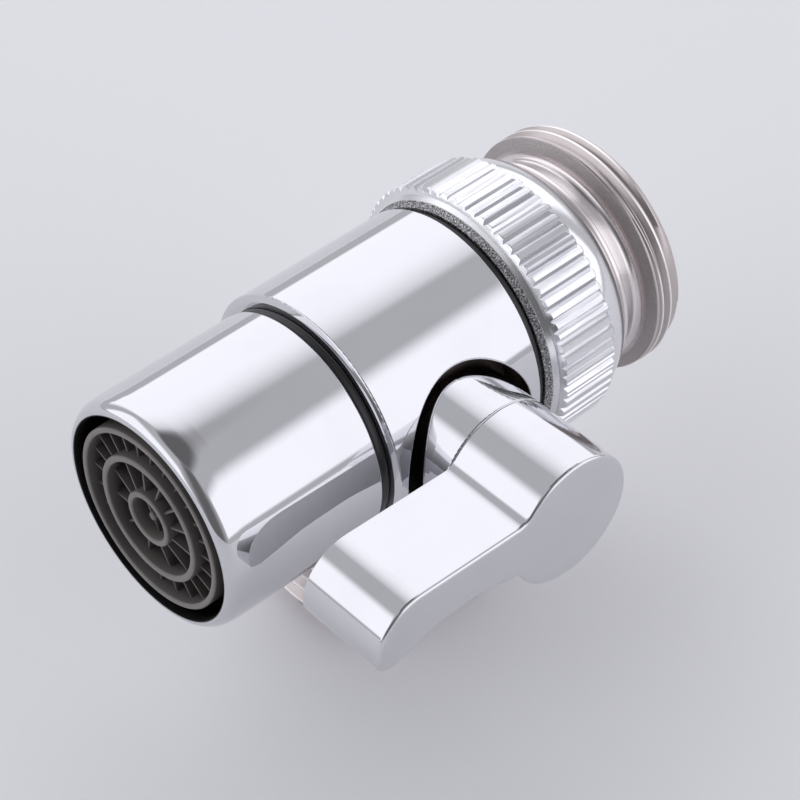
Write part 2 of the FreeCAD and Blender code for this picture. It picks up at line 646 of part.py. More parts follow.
def make_aerator_barrel():
    """Barrel screwed on the body, with a rolled lip and an inner rib that holds the aerator."""
    thread = LOWER_SPIGOT_RADIUS + THREAD_CLEARANCE
    radius = BARREL_DIAMETER / 2
    rib_top = -BARREL_RIB_TOP
    rib_bottom = rib_top + BARREL_RIB_LENGTH
    lip = -BARREL_LIP
    return turned([
        (-BARREL_TOP, thread),
        (rib_top, thread),
        (rib_top, BARREL_RIB_RADIUS),
        (rib_bottom, BARREL_RIB_RADIUS),
        (rib_bottom, BARREL_MOUTH_RADIUS),
        (lip - BARREL_MOUTH_ROUND, BARREL_MOUTH_RADIUS),
        (lip, BARREL_MOUTH_RADIUS + BARREL_MOUTH_ROUND / 2),
        (lip, radius, BARREL_LIP_ROUND - BARREL_MOUTH_ROUND),
        (-BARREL_TOP, radius, BARREL_TOP_CHAMFER),
    ], TO_AERATOR)


def aerator_stack():
    """Places of the aerator's pieces, counted from the ball's centre towards the mouth."""
    washer_start = -LOWER_SPIGOT_END
    screen_start = washer_start + AERATOR_WASHER_THICKNESS
    plate_start = screen_start + AERATOR_SCREEN_THICKNESS
    flange_start = plate_start + JET_PLATE_THICKNESS
    return washer_start, screen_start, plate_start, flange_start


def make_aerator_washer():
    """Rubber washer between the body's lower spigot and the aerator."""
    washer_start, screen_start, _, _ = aerator_stack()
    return ring(AERATOR_WASHER_BORE, LOWER_SPIGOT_RADIUS - FACE_GAP, washer_start, screen_start, TO_AERATOR)


def make_aerator_screen():
    """Perforated disc that keeps grit out of the jet plate."""
    _, screen_start, plate_start, _ = aerator_stack()
    disc = drilled_disc(JET_PLATE_RADIUS, screen_start, plate_start - screen_start,
                        STRAINER_HOLE_RADIUS, STRAINER_PITCH, STRAINER_RIM)
    return towards(disc, TO_AERATOR)


def make_jet_plate():
    """Plate with two rings of fine holes that split the flow into jets."""
    _, _, plate_start, flange_start = aerator_stack()
    blank = ring(0, JET_PLATE_RADIUS, plate_start, flange_start, TO_AERATOR)
    hollow = rod(JET_PLATE_RADIUS - JET_RIM, plate_start + 1, flange_start, TO_AERATOR)
    holes = []
    for circle_radius, count in JET_RINGS:
        for step in range(count):
            angle = 2 * math.pi * step / count
            base = Vector(-plate_start + 1, circle_radius * math.cos(angle), circle_radius * math.sin(angle))
            holes.append(Part.makeCylinder(JET_HOLE_RADIUS, JET_PLATE_THICKNESS + 2, base, TO_AERATOR))
    return blank.cut([hollow] + holes)


def grille_fin(inner_radius, outer_radius, start, end, angle):
    """One radial blade of the grille."""
    half = GRILLE_FIN_THICKNESS / 2
    blade = Part.makeBox(end - start, GRILLE_FIN_THICKNESS, outer_radius - inner_radius,
                         Vector(start, -half, inner_radius))
    blade.rotate(CENTRE, TO_INLET, angle)
    return blade


def make_aerator_grille():
    """Outlet grille: a flanged tube, a middle ring and a hub ring joined by radial fins."""
    _, _, _, flange_start = aerator_stack()
    flange_end = -BARREL_RIB_TOP
    face = -BARREL_LIP
    root = face - GRILLE_RING_DEPTH
    wall = GRILLE_WALL
    edge = GRILLE_RING_EDGE
    tube = turned([
        (flange_start, GRILLE_ROOT_RADIUS - 2 * wall),
        (face, GRILLE_FACE_RADIUS - wall),
        (face, GRILLE_FACE_RADIUS, edge),
        (flange_end, GRILLE_ROOT_RADIUS),
        (flange_end, GRILLE_FLANGE_RADIUS),
        (flange_start, GRILLE_FLANGE_RADIUS),
    ])
    rings = []
    for inner_radius, outer_radius in (GRILLE_MID_RING, GRILLE_HUB_RING):
        rings.append(turned([
            (root, inner_radius),
            (face, inner_radius, edge),
            (face, outer_radius, edge),
            (root, outer_radius),
        ]))
    bite = wall / 2
    fin_end = face - GRILLE_FIN_RECESS
    fins = []
    for step in range(GRILLE_FINS_OUTER):
        fins.append(grille_fin(GRILLE_MID_RING[1] - bite, GRILLE_FACE_RADIUS - bite, root, fin_end,
                               360 * step / GRILLE_FINS_OUTER))
    for step in range(GRILLE_FINS_INNER):
        fins.append(grille_fin(GRILLE_HUB_RING[1] - bite, GRILLE_MID_RING[0] + bite, root, fin_end,
                               360 * (step + 0.5) / GRILLE_FINS_INNER))
    hub_end = face - GRILLE_HUB_RECESS
    for step in range(GRILLE_HUB_SPOKES):
        fins.append(grille_fin(0, GRILLE_HUB_RING[0] + bite, root, hub_end,
                               360 * (step + 0.5) / GRILLE_HUB_SPOKES))
    hub = rod(GRILLE_HUB_BOSS_RADIUS, root, hub_end)
    grille = tube.fuse(rings + fins + [hub])
    return towards(grille, TO_AERATOR)


def make_parts():
    """Every piece by its node's name, about the crossing of the three axes."""
    seal_places = stem_seal_places()
    return {
        "valve_body": make_valve_body(),
        "inlet_spigot": make_inlet_spigot(),
        "outlet_nipple": make_outlet_nipple(),
        "outlet_seal": make_outlet_seal(),
        "inlet_seat": make_seat(TO_INLET),
        "aerator_seat": make_seat(TO_AERATOR),
        "outlet_seat": make_seat(TO_OUTLET),
        "diverter_ball": make_ball(),
        "stem": make_stem(),
        "stem_washer": make_stem_washer(),
        "stem_seal_inner": make_stem_seal(seal_places[0]),
        "stem_seal_outer": make_stem_seal(seal_places[1]),
        "bonnet": make_bonnet(),
        "lever": make_lever(),
        "lever_screw": make_lever_screw(),
        "swivel_washer": make_swivel_washer(),
        "swivel_nut": make_swivel_nut(),
        "thread_adapter": make_thread_adapter(),
        "inlet_washer": make_inlet_washer(),
        "inlet_strainer": make_inlet_strainer(),
        "end_washer": make_end_washer(),
        "barrel_seal": make_barrel_seal(),
        "aerator_barrel": make_aerator_barrel(),
        "aerator_washer": make_aerator_washer(),
        "aerator_screen": make_aerator_screen(),
        "jet_plate": make_jet_plate(),
        "aerator_grille": make_aerator_grille(),
    }


def write_parts():
    """Lift every piece into the frame and write it to its own file."""
    os.makedirs("parts", exist_ok=True)
    for name, shape in make_parts().items():
        placed = shape.copy()
        placed.translate(UP * AXIS_HEIGHT)
        solids = placed.Solids
        if len(solids) == 1:
            placed = solids[0]
        placed.exportStep(os.path.join("parts", name + ".step"))
        print(f"{name}: {len(solids)} solid, {placed.Volume:.1f} mm3, valid {placed.isValid()}")


write_parts()
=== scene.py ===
"""Looks of the sink tap diverter valve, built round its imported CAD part.

Sizes are in millimetres, as on the part's drawing. Each mesh is shaped along +X about the point where
the valve's axes cross, then turned, lifted to the main axis and shrunk to metres in one last step.
"""

import logging
import math
import random
from dataclasses import dataclass, field
from enum import Enum
from typing import Any

import bmesh
import bpy
from mathutils import Matrix, Vector

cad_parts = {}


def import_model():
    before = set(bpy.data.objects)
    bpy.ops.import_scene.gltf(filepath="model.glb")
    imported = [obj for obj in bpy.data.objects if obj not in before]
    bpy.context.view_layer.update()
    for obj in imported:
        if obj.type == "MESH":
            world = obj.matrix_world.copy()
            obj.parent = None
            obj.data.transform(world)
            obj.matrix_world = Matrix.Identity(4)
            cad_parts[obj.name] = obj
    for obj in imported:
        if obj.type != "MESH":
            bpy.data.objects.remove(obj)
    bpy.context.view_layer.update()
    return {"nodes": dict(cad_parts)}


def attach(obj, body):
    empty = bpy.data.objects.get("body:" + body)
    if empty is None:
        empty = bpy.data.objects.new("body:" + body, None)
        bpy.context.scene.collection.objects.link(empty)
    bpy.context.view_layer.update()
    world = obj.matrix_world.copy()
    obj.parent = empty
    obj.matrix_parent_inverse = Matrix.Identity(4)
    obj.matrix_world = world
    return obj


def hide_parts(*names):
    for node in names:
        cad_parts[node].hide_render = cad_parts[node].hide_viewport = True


LOG = logging.getLogger("diverter_valve")

MM = 0.001
AXIS_HEIGHT = 24.2
SHARP_ANGLE = math.radians(32)
MERGE_DISTANCE = 1e-4

Socket = bpy.types.NodeSocket
Colour = tuple[float, float, float, float]
Corner = tuple[float, float, float]


class Direction(Enum):
    """An axis of the valve, held as the turn that brings +X onto it."""

    INLET = (0.0, "Z")
    AERATOR = (180.0, "Z")
    LEVER = (-90.0, "Z")
    OUTLET = (90.0, "Y")

    def turn(self) -> Matrix:
        """The rotation from +X onto this axis."""
        degrees, about = self.value
        return Matrix.Rotation(math.radians(degrees), 4, about)


class Body(Enum):
    """The CAD bodies that a piece can ride on."""

    VALVE = "valve"
    LEVER = "lever_group"
    NUT = "inlet_nut"


class Bench:
    """Adds nodes to one node tree and joins them."""

    def __init__(self, tree: bpy.types.NodeTree) -> None:
        """Start on a tree.

        Args:
            tree: The node tree to work in.
        """
        self.tree = tree

    def add(self, kind: str, inputs: dict[Any, Any] | None = None, **settings: Any) -> bpy.types.Node:
        """Add a node.

        Args:
            kind: The node's type, without its ShaderNode prefix.
            inputs: Values or output sockets, keyed by the name or number of the input they go to.
            settings: The node's own settings.

        Returns:
            The new node.
        """
        node = self.tree.nodes.new("ShaderNode" + kind)
        for name, value in settings.items():
            setattr(node, name, value)
        for key, value in (inputs or {}).items():
            if isinstance(value, Socket):
                self.tree.links.new(value, node.inputs[key])
            else:
                node.inputs[key].default_value = value
        return node

    def maths(self, operation: str, *values: Any) -> Socket:
        """Add a Math node and return its result."""
        return self.add("Math", dict(enumerate(values)), operation=operation).outputs[0]

    def times(self, first: Any, second: Any) -> Socket:
        """Multiply two values."""
        return self.maths("MULTIPLY", first, second)

    def lift(self, value: Any, amount: Any, base: Any) -> Socket:
        """Multiply a value by an amount and add it to a base."""
        return self.maths("MULTIPLY_ADD", value, amount, base)

    def dot(self, first: Any, second: Any) -> Socket:
        """Add a dot product of two vectors and return its value."""
        node = self.add("VectorMath", {0: first, 1: second}, operation="DOT_PRODUCT")
        return node.outputs["Value"]

    def noise(self, inputs: dict[str, Any], **settings: Any) -> Socket:
        """Add a noise texture and return its value."""
        return self.add("TexNoise", inputs, **settings).outputs[0]

    def parted(self, place: Any) -> tuple[Socket, Socket]:
        """Part a place into its distance along the X axis and its distance from that axis."""
        split = self.add("SeparateXYZ", {0: place}).outputs
        square = self.maths("ADD", self.times(split["Y"], split["Y"]), self.times(split["Z"], split["Z"]))
        return split["X"], self.maths("SQRT", square)

    def span(self, value: Any, low: Any, high: Any, out_low: float = 0.0, out_high: float = 1.0,
             smooth: bool = True) -> Socket:
        """Remap a value from one range to another and clamp it.

        Args:
            value: The value to remap.
            low: The input that gives out_low.
            high: The input that gives out_high.
            out_low: The output at low.
            out_high: The output at high.
            smooth: Whether the change eases in and out.

        Returns:
            The remapped value.
        """
        kind = "SMOOTHSTEP" if smooth else "LINEAR"
        node = self.add("MapRange", {0: value, 1: low, 2: high, 3: out_low, 4: out_high},
                        interpolation_type=kind)
        return node.outputs[0]

    def blend(self, share: Any, first: Any, second: Any) -> Socket:
        """Mix two colours by a share and return the result."""
        node = self.add("Mix", {0: share, 6: first, 7: second}, data_type="RGBA")
        return node.outputs[2]

    def zone(self, along: Any, start: float, end: float, edge: float) -> Socket:
        """A mask that is 1 between two places along an axis, in metres.

        Args:
            along: The place along the axis.
            start: Where the zone starts.
            end: Where it ends.
            edge: How far each end fades.

        Returns:
            The mask.
        """
        rise = self.span(along, start - edge, start + edge)
        fall = self.span(along, end - edge, end + edge, 1.0, 0.0)
        return self.times(rise, fall)


class Effect:
    """A shader node group that several finishes share, built the first time it is asked for."""

    name = "effect"
    inputs: tuple[tuple[str, str, Any], ...] = ()
    outputs: tuple[tuple[str, str], ...] = ()

    @classmethod
    def tree(cls) -> bpy.types.NodeTree:
        """The group's node tree."""
        made = bpy.data.node_groups.get(cls.name)
        if made is not None:
            return made
        made = bpy.data.node_groups.new(cls.name, "ShaderNodeTree")
        for name, kind, value in cls.inputs:
            socket = made.interface.new_socket(name, in_out="INPUT", socket_type=kind)
            socket.default_value = value
        for name, kind in cls.outputs:
            made.interface.new_socket(name, in_out="OUTPUT", socket_type=kind)
        bench = Bench(made)
        entry = made.nodes.new("NodeGroupInput").outputs
        results = cls.build(bench, entry)
        leave = made.nodes.new("NodeGroupOutput")
        for name, socket in results.items():
            made.links.new(socket, leave.inputs[name])
        return made

    @classmethod
    def build(cls, bench: Bench, entry: Any) -> dict[str, Socket]:
        """Make the group's nodes and return what each output reads."""
        raise NotImplementedError

    @classmethod
    def place(cls, bench: Bench, inputs: dict[str, Any]) -> Any:
        """Put the group in a tree.

        Args:
            bench: The tree to work in.
            inputs: Values or sockets for the group's inputs.

        Returns:
            The outputs of the placed group.
        """
        return bench.add("Group", inputs, node_tree=cls.tree()).outputs


class Handling(Effect):
    """Faint smears and hairline scratches that polished metal picks up."""

    name = "handling_marks"
    inputs = (
        ("Vector", "NodeSocketVector", (0.0, 0.0, 0.0)),
        ("Smear", "NodeSocketFloat", 0.3),
        ("Scratches", "NodeSocketFloat", 0.2),
        ("Roughness", "NodeSocketFloat", 0.05),
        ("Spread", "NodeSocketFloat", 0.05),
    )
    outputs = (("Tone", "NodeSocketFloat"), ("Roughness", "NodeSocketFloat"), ("Height", "NodeSocketFloat"))

    @classmethod
    def build(cls, bench: Bench, entry: Any) -> dict[str, Socket]:
        """Layer a broad noise, a fine noise and stretched hairlines."""
        broad = bench.noise({"Vector": entry["Vector"], "Scale": 130.0, "Detail": 3.0, "Roughness": 0.55,
                             "Distortion": 0.6})
        smear = bench.span(broad, 0.42, 0.72)
        turned = bench.add("Mapping", {"Vector": entry["Vector"], "Rotation": (0.4, 0.9, 0.3),
                                       "Scale": (90.0, 2600.0, 2600.0)}).outputs[0]
        hair = bench.noise({"Vector": turned, "Scale": 1.0, "Detail": 2.0})
        scratch = bench.span(hair, 0.66, 0.74)
        marks = bench.times(smear, entry["Smear"])
        lines = bench.times(scratch, entry["Scratches"])
        both = bench.maths("ADD", marks, lines)
        rough = bench.lift(both, entry["Spread"], entry["Roughness"])
        return {"Tone": both, "Roughness": rough, "Height": lines}


class LatheLines(Effect):
    """Fine rings left by the lathe, about the X axis, on rims and on flat ends alike."""

    name = "lathe_lines"
    inputs = (
        ("Vector", "NodeSocketVector", (0.0, 0.0, 0.0)),
        ("Density", "NodeSocketFloat", 9000.0),
        ("Waviness", "NodeSocketFloat", 0.25),
    )
    outputs = (("Height", "NodeSocketFloat"), ("Tone", "NodeSocketFloat"))

    @classmethod
    def build(cls, bench: Bench, entry: Any) -> dict[str, Socket]:
        """Run a one-way noise over the distance along the axis plus the distance from it."""
        along, away = bench.parted(entry["Vector"])
        wander = bench.noise({"Vector": entry["Vector"], "Scale": 160.0, "Detail": 1.0})
        shifted = bench.lift(wander, bench.times(entry["Waviness"], MM), bench.maths("ADD", along, away))
        line = bench.times(shifted, entry["Density"])
        fine = bench.noise({"W": line, "Scale": 1.0, "Detail": 3.0}, noise_dimensions="1D")
        coarse = bench.noise({"W": line, "Scale": 0.11, "Detail": 2.0}, noise_dimensions="1D")
        height = bench.lift(coarse, 0.6, fine)
        return {"Height": height, "Tone": bench.span(coarse, 0.35, 0.65)}


class Grains(Effect):
    """Coarse sparkling grains, as on metal that was left rough from the blank."""

    name = "rough_grains"
    inputs = (("Vector", "NodeSocketVector", (0.0, 0.0, 0.0)), ("Size", "NodeSocketFloat", 0.12))
    outputs = (("Height", "NodeSocketFloat"), ("Spots", "NodeSocketFloat"))

    @classmethod
    def build(cls, bench: Bench, entry: Any) -> dict[str, Socket]:
        """Mix cells and noise at the grain's size."""
        scale = bench.maths("DIVIDE", 1.0 / MM, entry["Size"])
        cells = bench.add("TexVoronoi", {"Vector": entry["Vector"], "Scale": scale, "Randomness": 1.0})
        noise = bench.noise({"Vector": entry["Vector"], "Scale": bench.times(scale, 0.7), "Detail": 4.0,
                             "Roughness": 0.7})
        height = bench.maths("ADD", cells.outputs["Distance"], noise)
        return {"Height": height, "Spots": bench.span(noise, 0.42, 0.66)}


class Pits(Effect):
    """The soft unevenness of moulded plastic and rubber."""

    name = "moulded_skin"
    inputs = (("Vector", "NodeSocketVector", (0.0, 0.0, 0.0)), ("Grain", "NodeSocketFloat", 0.15))
    outputs = (("Height", "NodeSocketFloat"), ("Tone", "NodeSocketFloat"))

    @classmethod
    def build(cls, bench: Bench, entry: Any) -> dict[str, Socket]:
        """Mix a fine grain with broad clouds."""
        scale = bench.maths("DIVIDE", 1.0 / MM, entry["Grain"])
        grain = bench.noise({"Vector": entry["Vector"], "Scale": scale, "Detail": 3.0, "Roughness": 0.6})
        cloud = bench.noise({"Vector": entry["Vector"], "Scale": 220.0, "Detail": 2.0})
        return {"Height": grain, "Tone": bench.span(cloud, 0.35, 0.68)}


@dataclass(frozen=True)
class Finish:
    """What every finish has: a name and the axis that its pattern runs about."""

    name: str
    axis: Direction = Direction.INLET

    def material(self) -> bpy.types.Material:
        """The finish as a Blender material, built once."""
        found = bpy.data.materials.get("finish_" + self.name)
        if found is not None:
            return found
        made = bpy.data.materials.new("finish_" + self.name)
        made.use_nodes = True
        tree = made.node_tree
        tree.nodes.clear()
        bench = Bench(tree)
        shader = self.shade(bench, self.centred(bench, self.axis))
        bench.add("OutputMaterial", {"Surface": shader.outputs[0]})
        return made

    def centred(self, bench: Bench, axis: Direction) -> Socket:
        """Object coordinates about the axes' crossing, turned so that an axis runs along X.

        Args:
            bench: The material's tree.
            axis: The axis that runs along X.

        Returns:
            The coordinates, in metres.
        """
        place = bench.add("TexCoord").outputs["Object"]
        turn = axis.turn().inverted()
        shift = turn @ Vector((0.0, 0.0, -AXIS_HEIGHT * MM))
        return bench.add("Mapping", {"Vector": place, "Location": shift,
                                     "Rotation": turn.to_euler()}).outputs[0]

    def shade(self, bench: Bench, place: Socket) -> bpy.types.Node:
        """Build the finish's own nodes and return its shader."""
        raise NotImplementedError


@dataclass(frozen=True)
class Chrome(Finish):
    """Mirror-bright plating with faint handling marks, left dull inside one bore or on one hidden face,
    where a painted colour stands in for light and shade.
    """

    colour: Colour = (0.685, 0.685, 0.712, 1.0)
    marked: Colour = (0.63, 0.63, 0.655, 1.0)
    # The dull place's colour, painted light and shade: dark in a bore, near-white on a hidden face.
    painted_zone_tone: Colour = (0.09, 0.07, 0.055, 1.0)
    roughness: float = 0.035
    spread: float = 0.05
    scratches: float = 0.15
    dull_axis: Direction = Direction.LEVER
    dull_start: float = 0.0
    dull_end: float = 0.0
    dull_inner: float = -1.0
    dull_outer: float = 0.0
    dull_roughness: float = 0.42
    dull_metal: float = 1.0
    dull_edge: float = 0.01
    dull_lines: float = 4.0

    def dull_and_painted_zone(self, bench: Bench, place: Socket) -> Socket:
        """Where the plating is dull and its colour painted: between two places along an axis and two
        distances from it.
        """
        along, away = bench.parted(place)
        edge = self.dull_edge * MM
        return bench.times(bench.zone(along, self.dull_start * MM, self.dull_end * MM, edge),
                           bench.zone(away, self.dull_inner * MM, self.dull_outer * MM, edge))

    def shade(self, bench: Bench, place: Socket) -> bpy.types.Node:
        """A mirror whose roughness and tone follow the handling marks and the dull place, whose tone is
        painted light and shade.
        """
        marks = Handling.place(bench, {"Vector": place, "Smear": 0.35, "Scratches": self.scratches,
                                       "Roughness": self.roughness, "Spread": self.spread})
        tone = bench.blend(marks["Tone"], self.colour, self.marked)
        rough = marks["Roughness"]
        height = marks["Height"]
        metal: Any = 1.0
        if self.dull_outer > 0.0:
            turned = self.centred(bench, self.dull_axis)
            mask = self.dull_and_painted_zone(bench, turned)
            lines = LatheLines.place(bench, {"Vector": turned, "Density": 7000.0})
            # Painted light and shade: the dull place takes the painted colour, with faint lathe lines in it.
            painted_light_tone = bench.blend(bench.times(lines["Tone"], 0.08), self.painted_zone_tone, self.colour)
            tone = bench.blend(mask, tone, painted_light_tone)
            rough = bench.lift(mask, self.dull_roughness, rough)
            height = bench.lift(bench.times(lines["Height"], mask), self.dull_lines, height)
            if self.dull_metal < 1.0:
                metal = bench.span(mask, 0.0, 1.0, 1.0, self.dull_metal, smooth=False)
        bump = bench.add("Bump", {"Strength": 0.08, "Distance": 0.02 * MM, "Height": height})
        return bench.add("BsdfPrincipled", {"Base Color": tone, "Metallic": metal, "Roughness": rough,
                                            "Normal": bump.outputs[0]})


@dataclass(frozen=True)
class KnurledChrome(Finish):
    """Plating over rolled ribs: bright and streaky, with a rough grey foot."""

    colour: Colour = (0.80, 0.80, 0.82, 1.0)
    streak: Colour = (0.66, 0.66, 0.69, 1.0)
    foot: Colour = (0.10, 0.10, 0.10, 1.0)
    foot_start: float = 9.0
    foot_end: float = 9.76
    ring_end: float = 10.35
    rib_end: float = 16.6
    edge: float = 0.05

    def shade(self, bench: Bench, place: Socket) -> bpy.types.Node:
        """Streaks along the ribs, lathe lines on the foot ring and grains at the foot."""
        along = bench.add("SeparateXYZ", {0: place}).outputs["X"]
        drawn = bench.add("Mapping", {"Vector": place, "Scale": (160.0, 2400.0, 2400.0)}).outputs[0]
        streaks = bench.noise({"Vector": drawn, "Scale": 1.0, "Detail": 4.0, "Roughness": 0.65})
        streak = bench.span(streaks, 0.4, 0.7)
        rings = LatheLines.place(bench, {"Vector": place, "Density": 16000.0, "Waviness": 0.1})
        grains = Grains.place(bench, {"Vector": place, "Size": 0.1})
        ends = (self.foot_start, self.foot_end, self.ring_end, self.rib_end)
        foot, ring, ribbed = (bench.zone(along, start * MM, end * MM, self.edge * MM)
                              for start, end in zip(ends, ends[1:]))
        drawn_streak = bench.times(streak, ribbed)
        colour = bench.blend(drawn_streak, self.colour, self.streak)
        spots = bench.blend(grains["Spots"], self.foot, self.colour)
        colour = bench.blend(foot, colour, spots)
        rough = bench.lift(foot, 0.3, bench.lift(ring, 0.08, bench.lift(drawn_streak, 0.12, 0.12)))
        height = bench.times(streaks, ribbed)
        height = bench.lift(bench.times(rings["Height"], ring), 0.8, height)
        height = bench.lift(bench.times(grains["Height"], foot), 5.0, height)
        bump = bench.add("Bump", {"Strength": 0.55, "Distance": 0.012 * MM, "Height": height})
        return bench.add("BsdfPrincipled", {"Base Color": colour, "Metallic": 1.0, "Roughness": rough,
                                            "Normal": bump.outputs[0]})


@dataclass(frozen=True)
class TurnedMetal(Finish):
    """Bare metal off the lathe, with a zone that stayed rough."""

    colour: Colour = (0.80, 0.755, 0.755, 1.0)
    dark: Colour = (0.66, 0.615, 0.61, 1.0)
    roughness: float = 0.2
    density: float = 11000.0
    relief: float = 0.4
    rough_start: float = 0.0
    rough_end: float = 0.0
    crest: float = 0.0
    thread_start: float = 0.0
    thread_reach: float = 1.3
    pitted: Colour = (0.16, 0.145, 0.135, 1.0)
    thread: Colour = (0.56, 0.51, 0.50, 1.0)
    # Painted highlight on the thread crests.
    painted_light_tone: Colour = (0.97, 0.93, 0.92, 1.0)

    def shade(self, bench: Bench, place: Socket) -> bpy.types.Node:
        """Lathe lines everywhere, grains in the rough zone, and a thread with painted highlights on its
        crests.
        """
        lines = LatheLines.place(bench, {"Vector": place, "Density": self.density, "Waviness": 0.2})
        marks = Handling.place(bench, {"Vector": place, "Smear": 0.5, "Scratches": 0.2,
                                       "Roughness": self.roughness, "Spread": 0.12})
        colour = bench.blend(bench.times(lines["Tone"], 0.6), self.colour, self.dark)
        height = lines["Height"]
        rough = marks["Roughness"]
        along, away = bench.parted(place)
        if self.rough_end > self.rough_start:
            zone = bench.zone(along, self.rough_start * MM, self.rough_end * MM, 0.06 * MM)
            grains = Grains.place(bench, {"Vector": place, "Size": 0.14})
            spotted = bench.blend(grains["Spots"], self.dark, self.colour)
            colour = bench.blend(zone, colour, bench.blend(0.5, spotted, self.pitted))
            height = bench.lift(bench.times(grains["Height"], zone), 6.0, height)
            rough = bench.lift(zone, 0.25, rough)
        if self.crest > 0.0:
            soft = 0.1
            foot = self.crest - self.thread_reach
            start = self.thread_start
            cut = bench.times(bench.span(along, (start - soft) * MM, (start + soft) * MM),
                              bench.span(away, (foot - soft) * MM, (foot + soft) * MM))
            colour = bench.blend(cut, colour, self.thread)
            rough = bench.lift(cut, 0.12, rough)
            # Painted highlight: the thread's crests are painted near-white.
            crest_highlight_share = bench.span(away, (self.crest - 0.08) * MM, (self.crest - 0.02) * MM)
            colour = bench.blend(crest_highlight_share, colour, self.painted_light_tone)
        bump = bench.add("Bump", {"Strength": self.relief, "Distance": 0.01 * MM, "Height": height})
        return bench.add("BsdfPrincipled", {"Base Color": colour, "Metallic": 1.0, "Roughness": rough,
                                            "Normal": bump.outputs[0]})


@dataclass(frozen=True)
class Moulded(Finish):
    """Moulded plastic or rubber with a fine skin."""

    colour: Colour = (0.10, 0.09, 0.08, 1.0)
    clouded: Colour = (0.12, 0.11, 0.10, 1.0)
    roughness: float = 0.45
    variation: float = 0.1
    grain: float = 0.15
    relief: float = 0.25
    specular: float = 0.5
    face: float = 0.0
    depth: float = 3.0
    painted_depth_shade: Colour = (0.016, 0.012, 0.009, 1.0)

    def shade(self, bench: Bench, place: Socket) -> bpy.types.Node:
        """A soft skin whose tone and gloss drift slightly, darkened by painted shade the deeper it lies."""
        skin = Pits.place(bench, {"Vector": place, "Grain": self.grain})
        colour = bench.blend(skin["Tone"], self.colour, self.clouded)
        # Painted shade: the colour darkens with depth behind the face, standing in for the shade between
        # rings and fins.
        if self.face > 0.0:
            along = bench.add("SeparateXYZ", {0: place}).outputs["X"]
            sunk = bench.span(along, self.face * MM, (self.face - self.depth) * MM, smooth=False)
            colour = bench.blend(bench.maths("POWER", sunk, 0.7), colour, self.painted_depth_shade)
        rough = bench.lift(skin["Tone"], self.variation, self.roughness)
        bump = bench.add("Bump", {"Strength": self.relief, "Distance": 0.01 * MM, "Height": skin["Height"]})
        return bench.add("BsdfPrincipled", {"Base Color": colour, "Roughness": rough,
                                            "Specular IOR Level": self.specular, "Normal": bump.outputs[0]})


FINISHES: dict[str, Finish] = {
    # Lever recess: a brown brass tint, darkened to painted shade.
    "body_chrome": Chrome("body_chrome", dull_start=2.0, dull_end=14.0, dull_outer=7.32),
    # Lever's hidden inner face: near-white and mostly diffuse, a painted fill light that brightens its
    # reflection in the barrel; the real face is plated.
    "lever_chrome": Chrome("lever_chrome", roughness=0.04, painted_zone_tone=(0.88, 0.88, 0.9, 1.0), dull_start=14.9,
                           dull_end=15.12, dull_outer=30.0, dull_roughness=0.55, dull_metal=0.15),
    "nut_chrome": KnurledChrome("nut_chrome"),
    "satin_nickel": TurnedMetal("satin_nickel", rough_start=22.86, rough_end=23.34, crest=12.0,
                                thread_start=23.4),
    "turned_brass": TurnedMetal("turned_brass", colour=(0.78, 0.57, 0.25, 1.0),
                                dark=(0.6, 0.41, 0.16, 1.0)),
    "ball_chrome": Chrome("ball_chrome", roughness=0.06, scratches=0.3),
    "stainless": TurnedMetal("stainless", colour=(0.6, 0.59, 0.57, 1.0), dark=(0.45, 0.44, 0.43, 1.0),
                             roughness=0.3, relief=0.2),
    # face marks the grille's front; behind it the colour darkens as painted shade.
    "grey_plastic": Moulded("grey_plastic", axis=Direction.AERATOR, colour=(0.195, 0.18, 0.172, 1.0),
                            clouded=(0.225, 0.208, 0.198, 1.0), roughness=0.42, face=25.95),
    "white_seat": Moulded("white_seat", colour=(0.8, 0.8, 0.78, 1.0), clouded=(0.74, 0.74, 0.71, 1.0),
                          roughness=0.38, grain=0.3),
    "black_rubber": Moulded("black_rubber", colour=(0.012, 0.012, 0.013, 1.0),
                            clouded=(0.022, 0.022, 0.024, 1.0), roughness=0.3, grain=0.25),
}
OUTLET_NICKEL = TurnedMetal("outlet_nickel", axis=Direction.OUTLET, crest=10.48, thread_start=14.0,
                            colour=(0.68, 0.62, 0.60, 1.0))
COLLAR_CHROME = Chrome("collar_chrome", axis=Direction.LEVER)
# Barrel bore: painted near-black, painted shade inside the mouth.
BARREL_CHROME = Chrome("barrel_chrome", painted_zone_tone=(0.012, 0.012, 0.012, 1.0), dull_axis=Direction.AERATOR,
                       dull_start=5.0, dull_end=30.0, dull_outer=9.95)


def linked(name: str, data: bpy.types.ID) -> bpy.types.Object:
    """Make an object of some data and put it in the scene."""
    made = bpy.data.objects.new(name, data)
    bpy.context.scene.collection.objects.link(made)
    return made


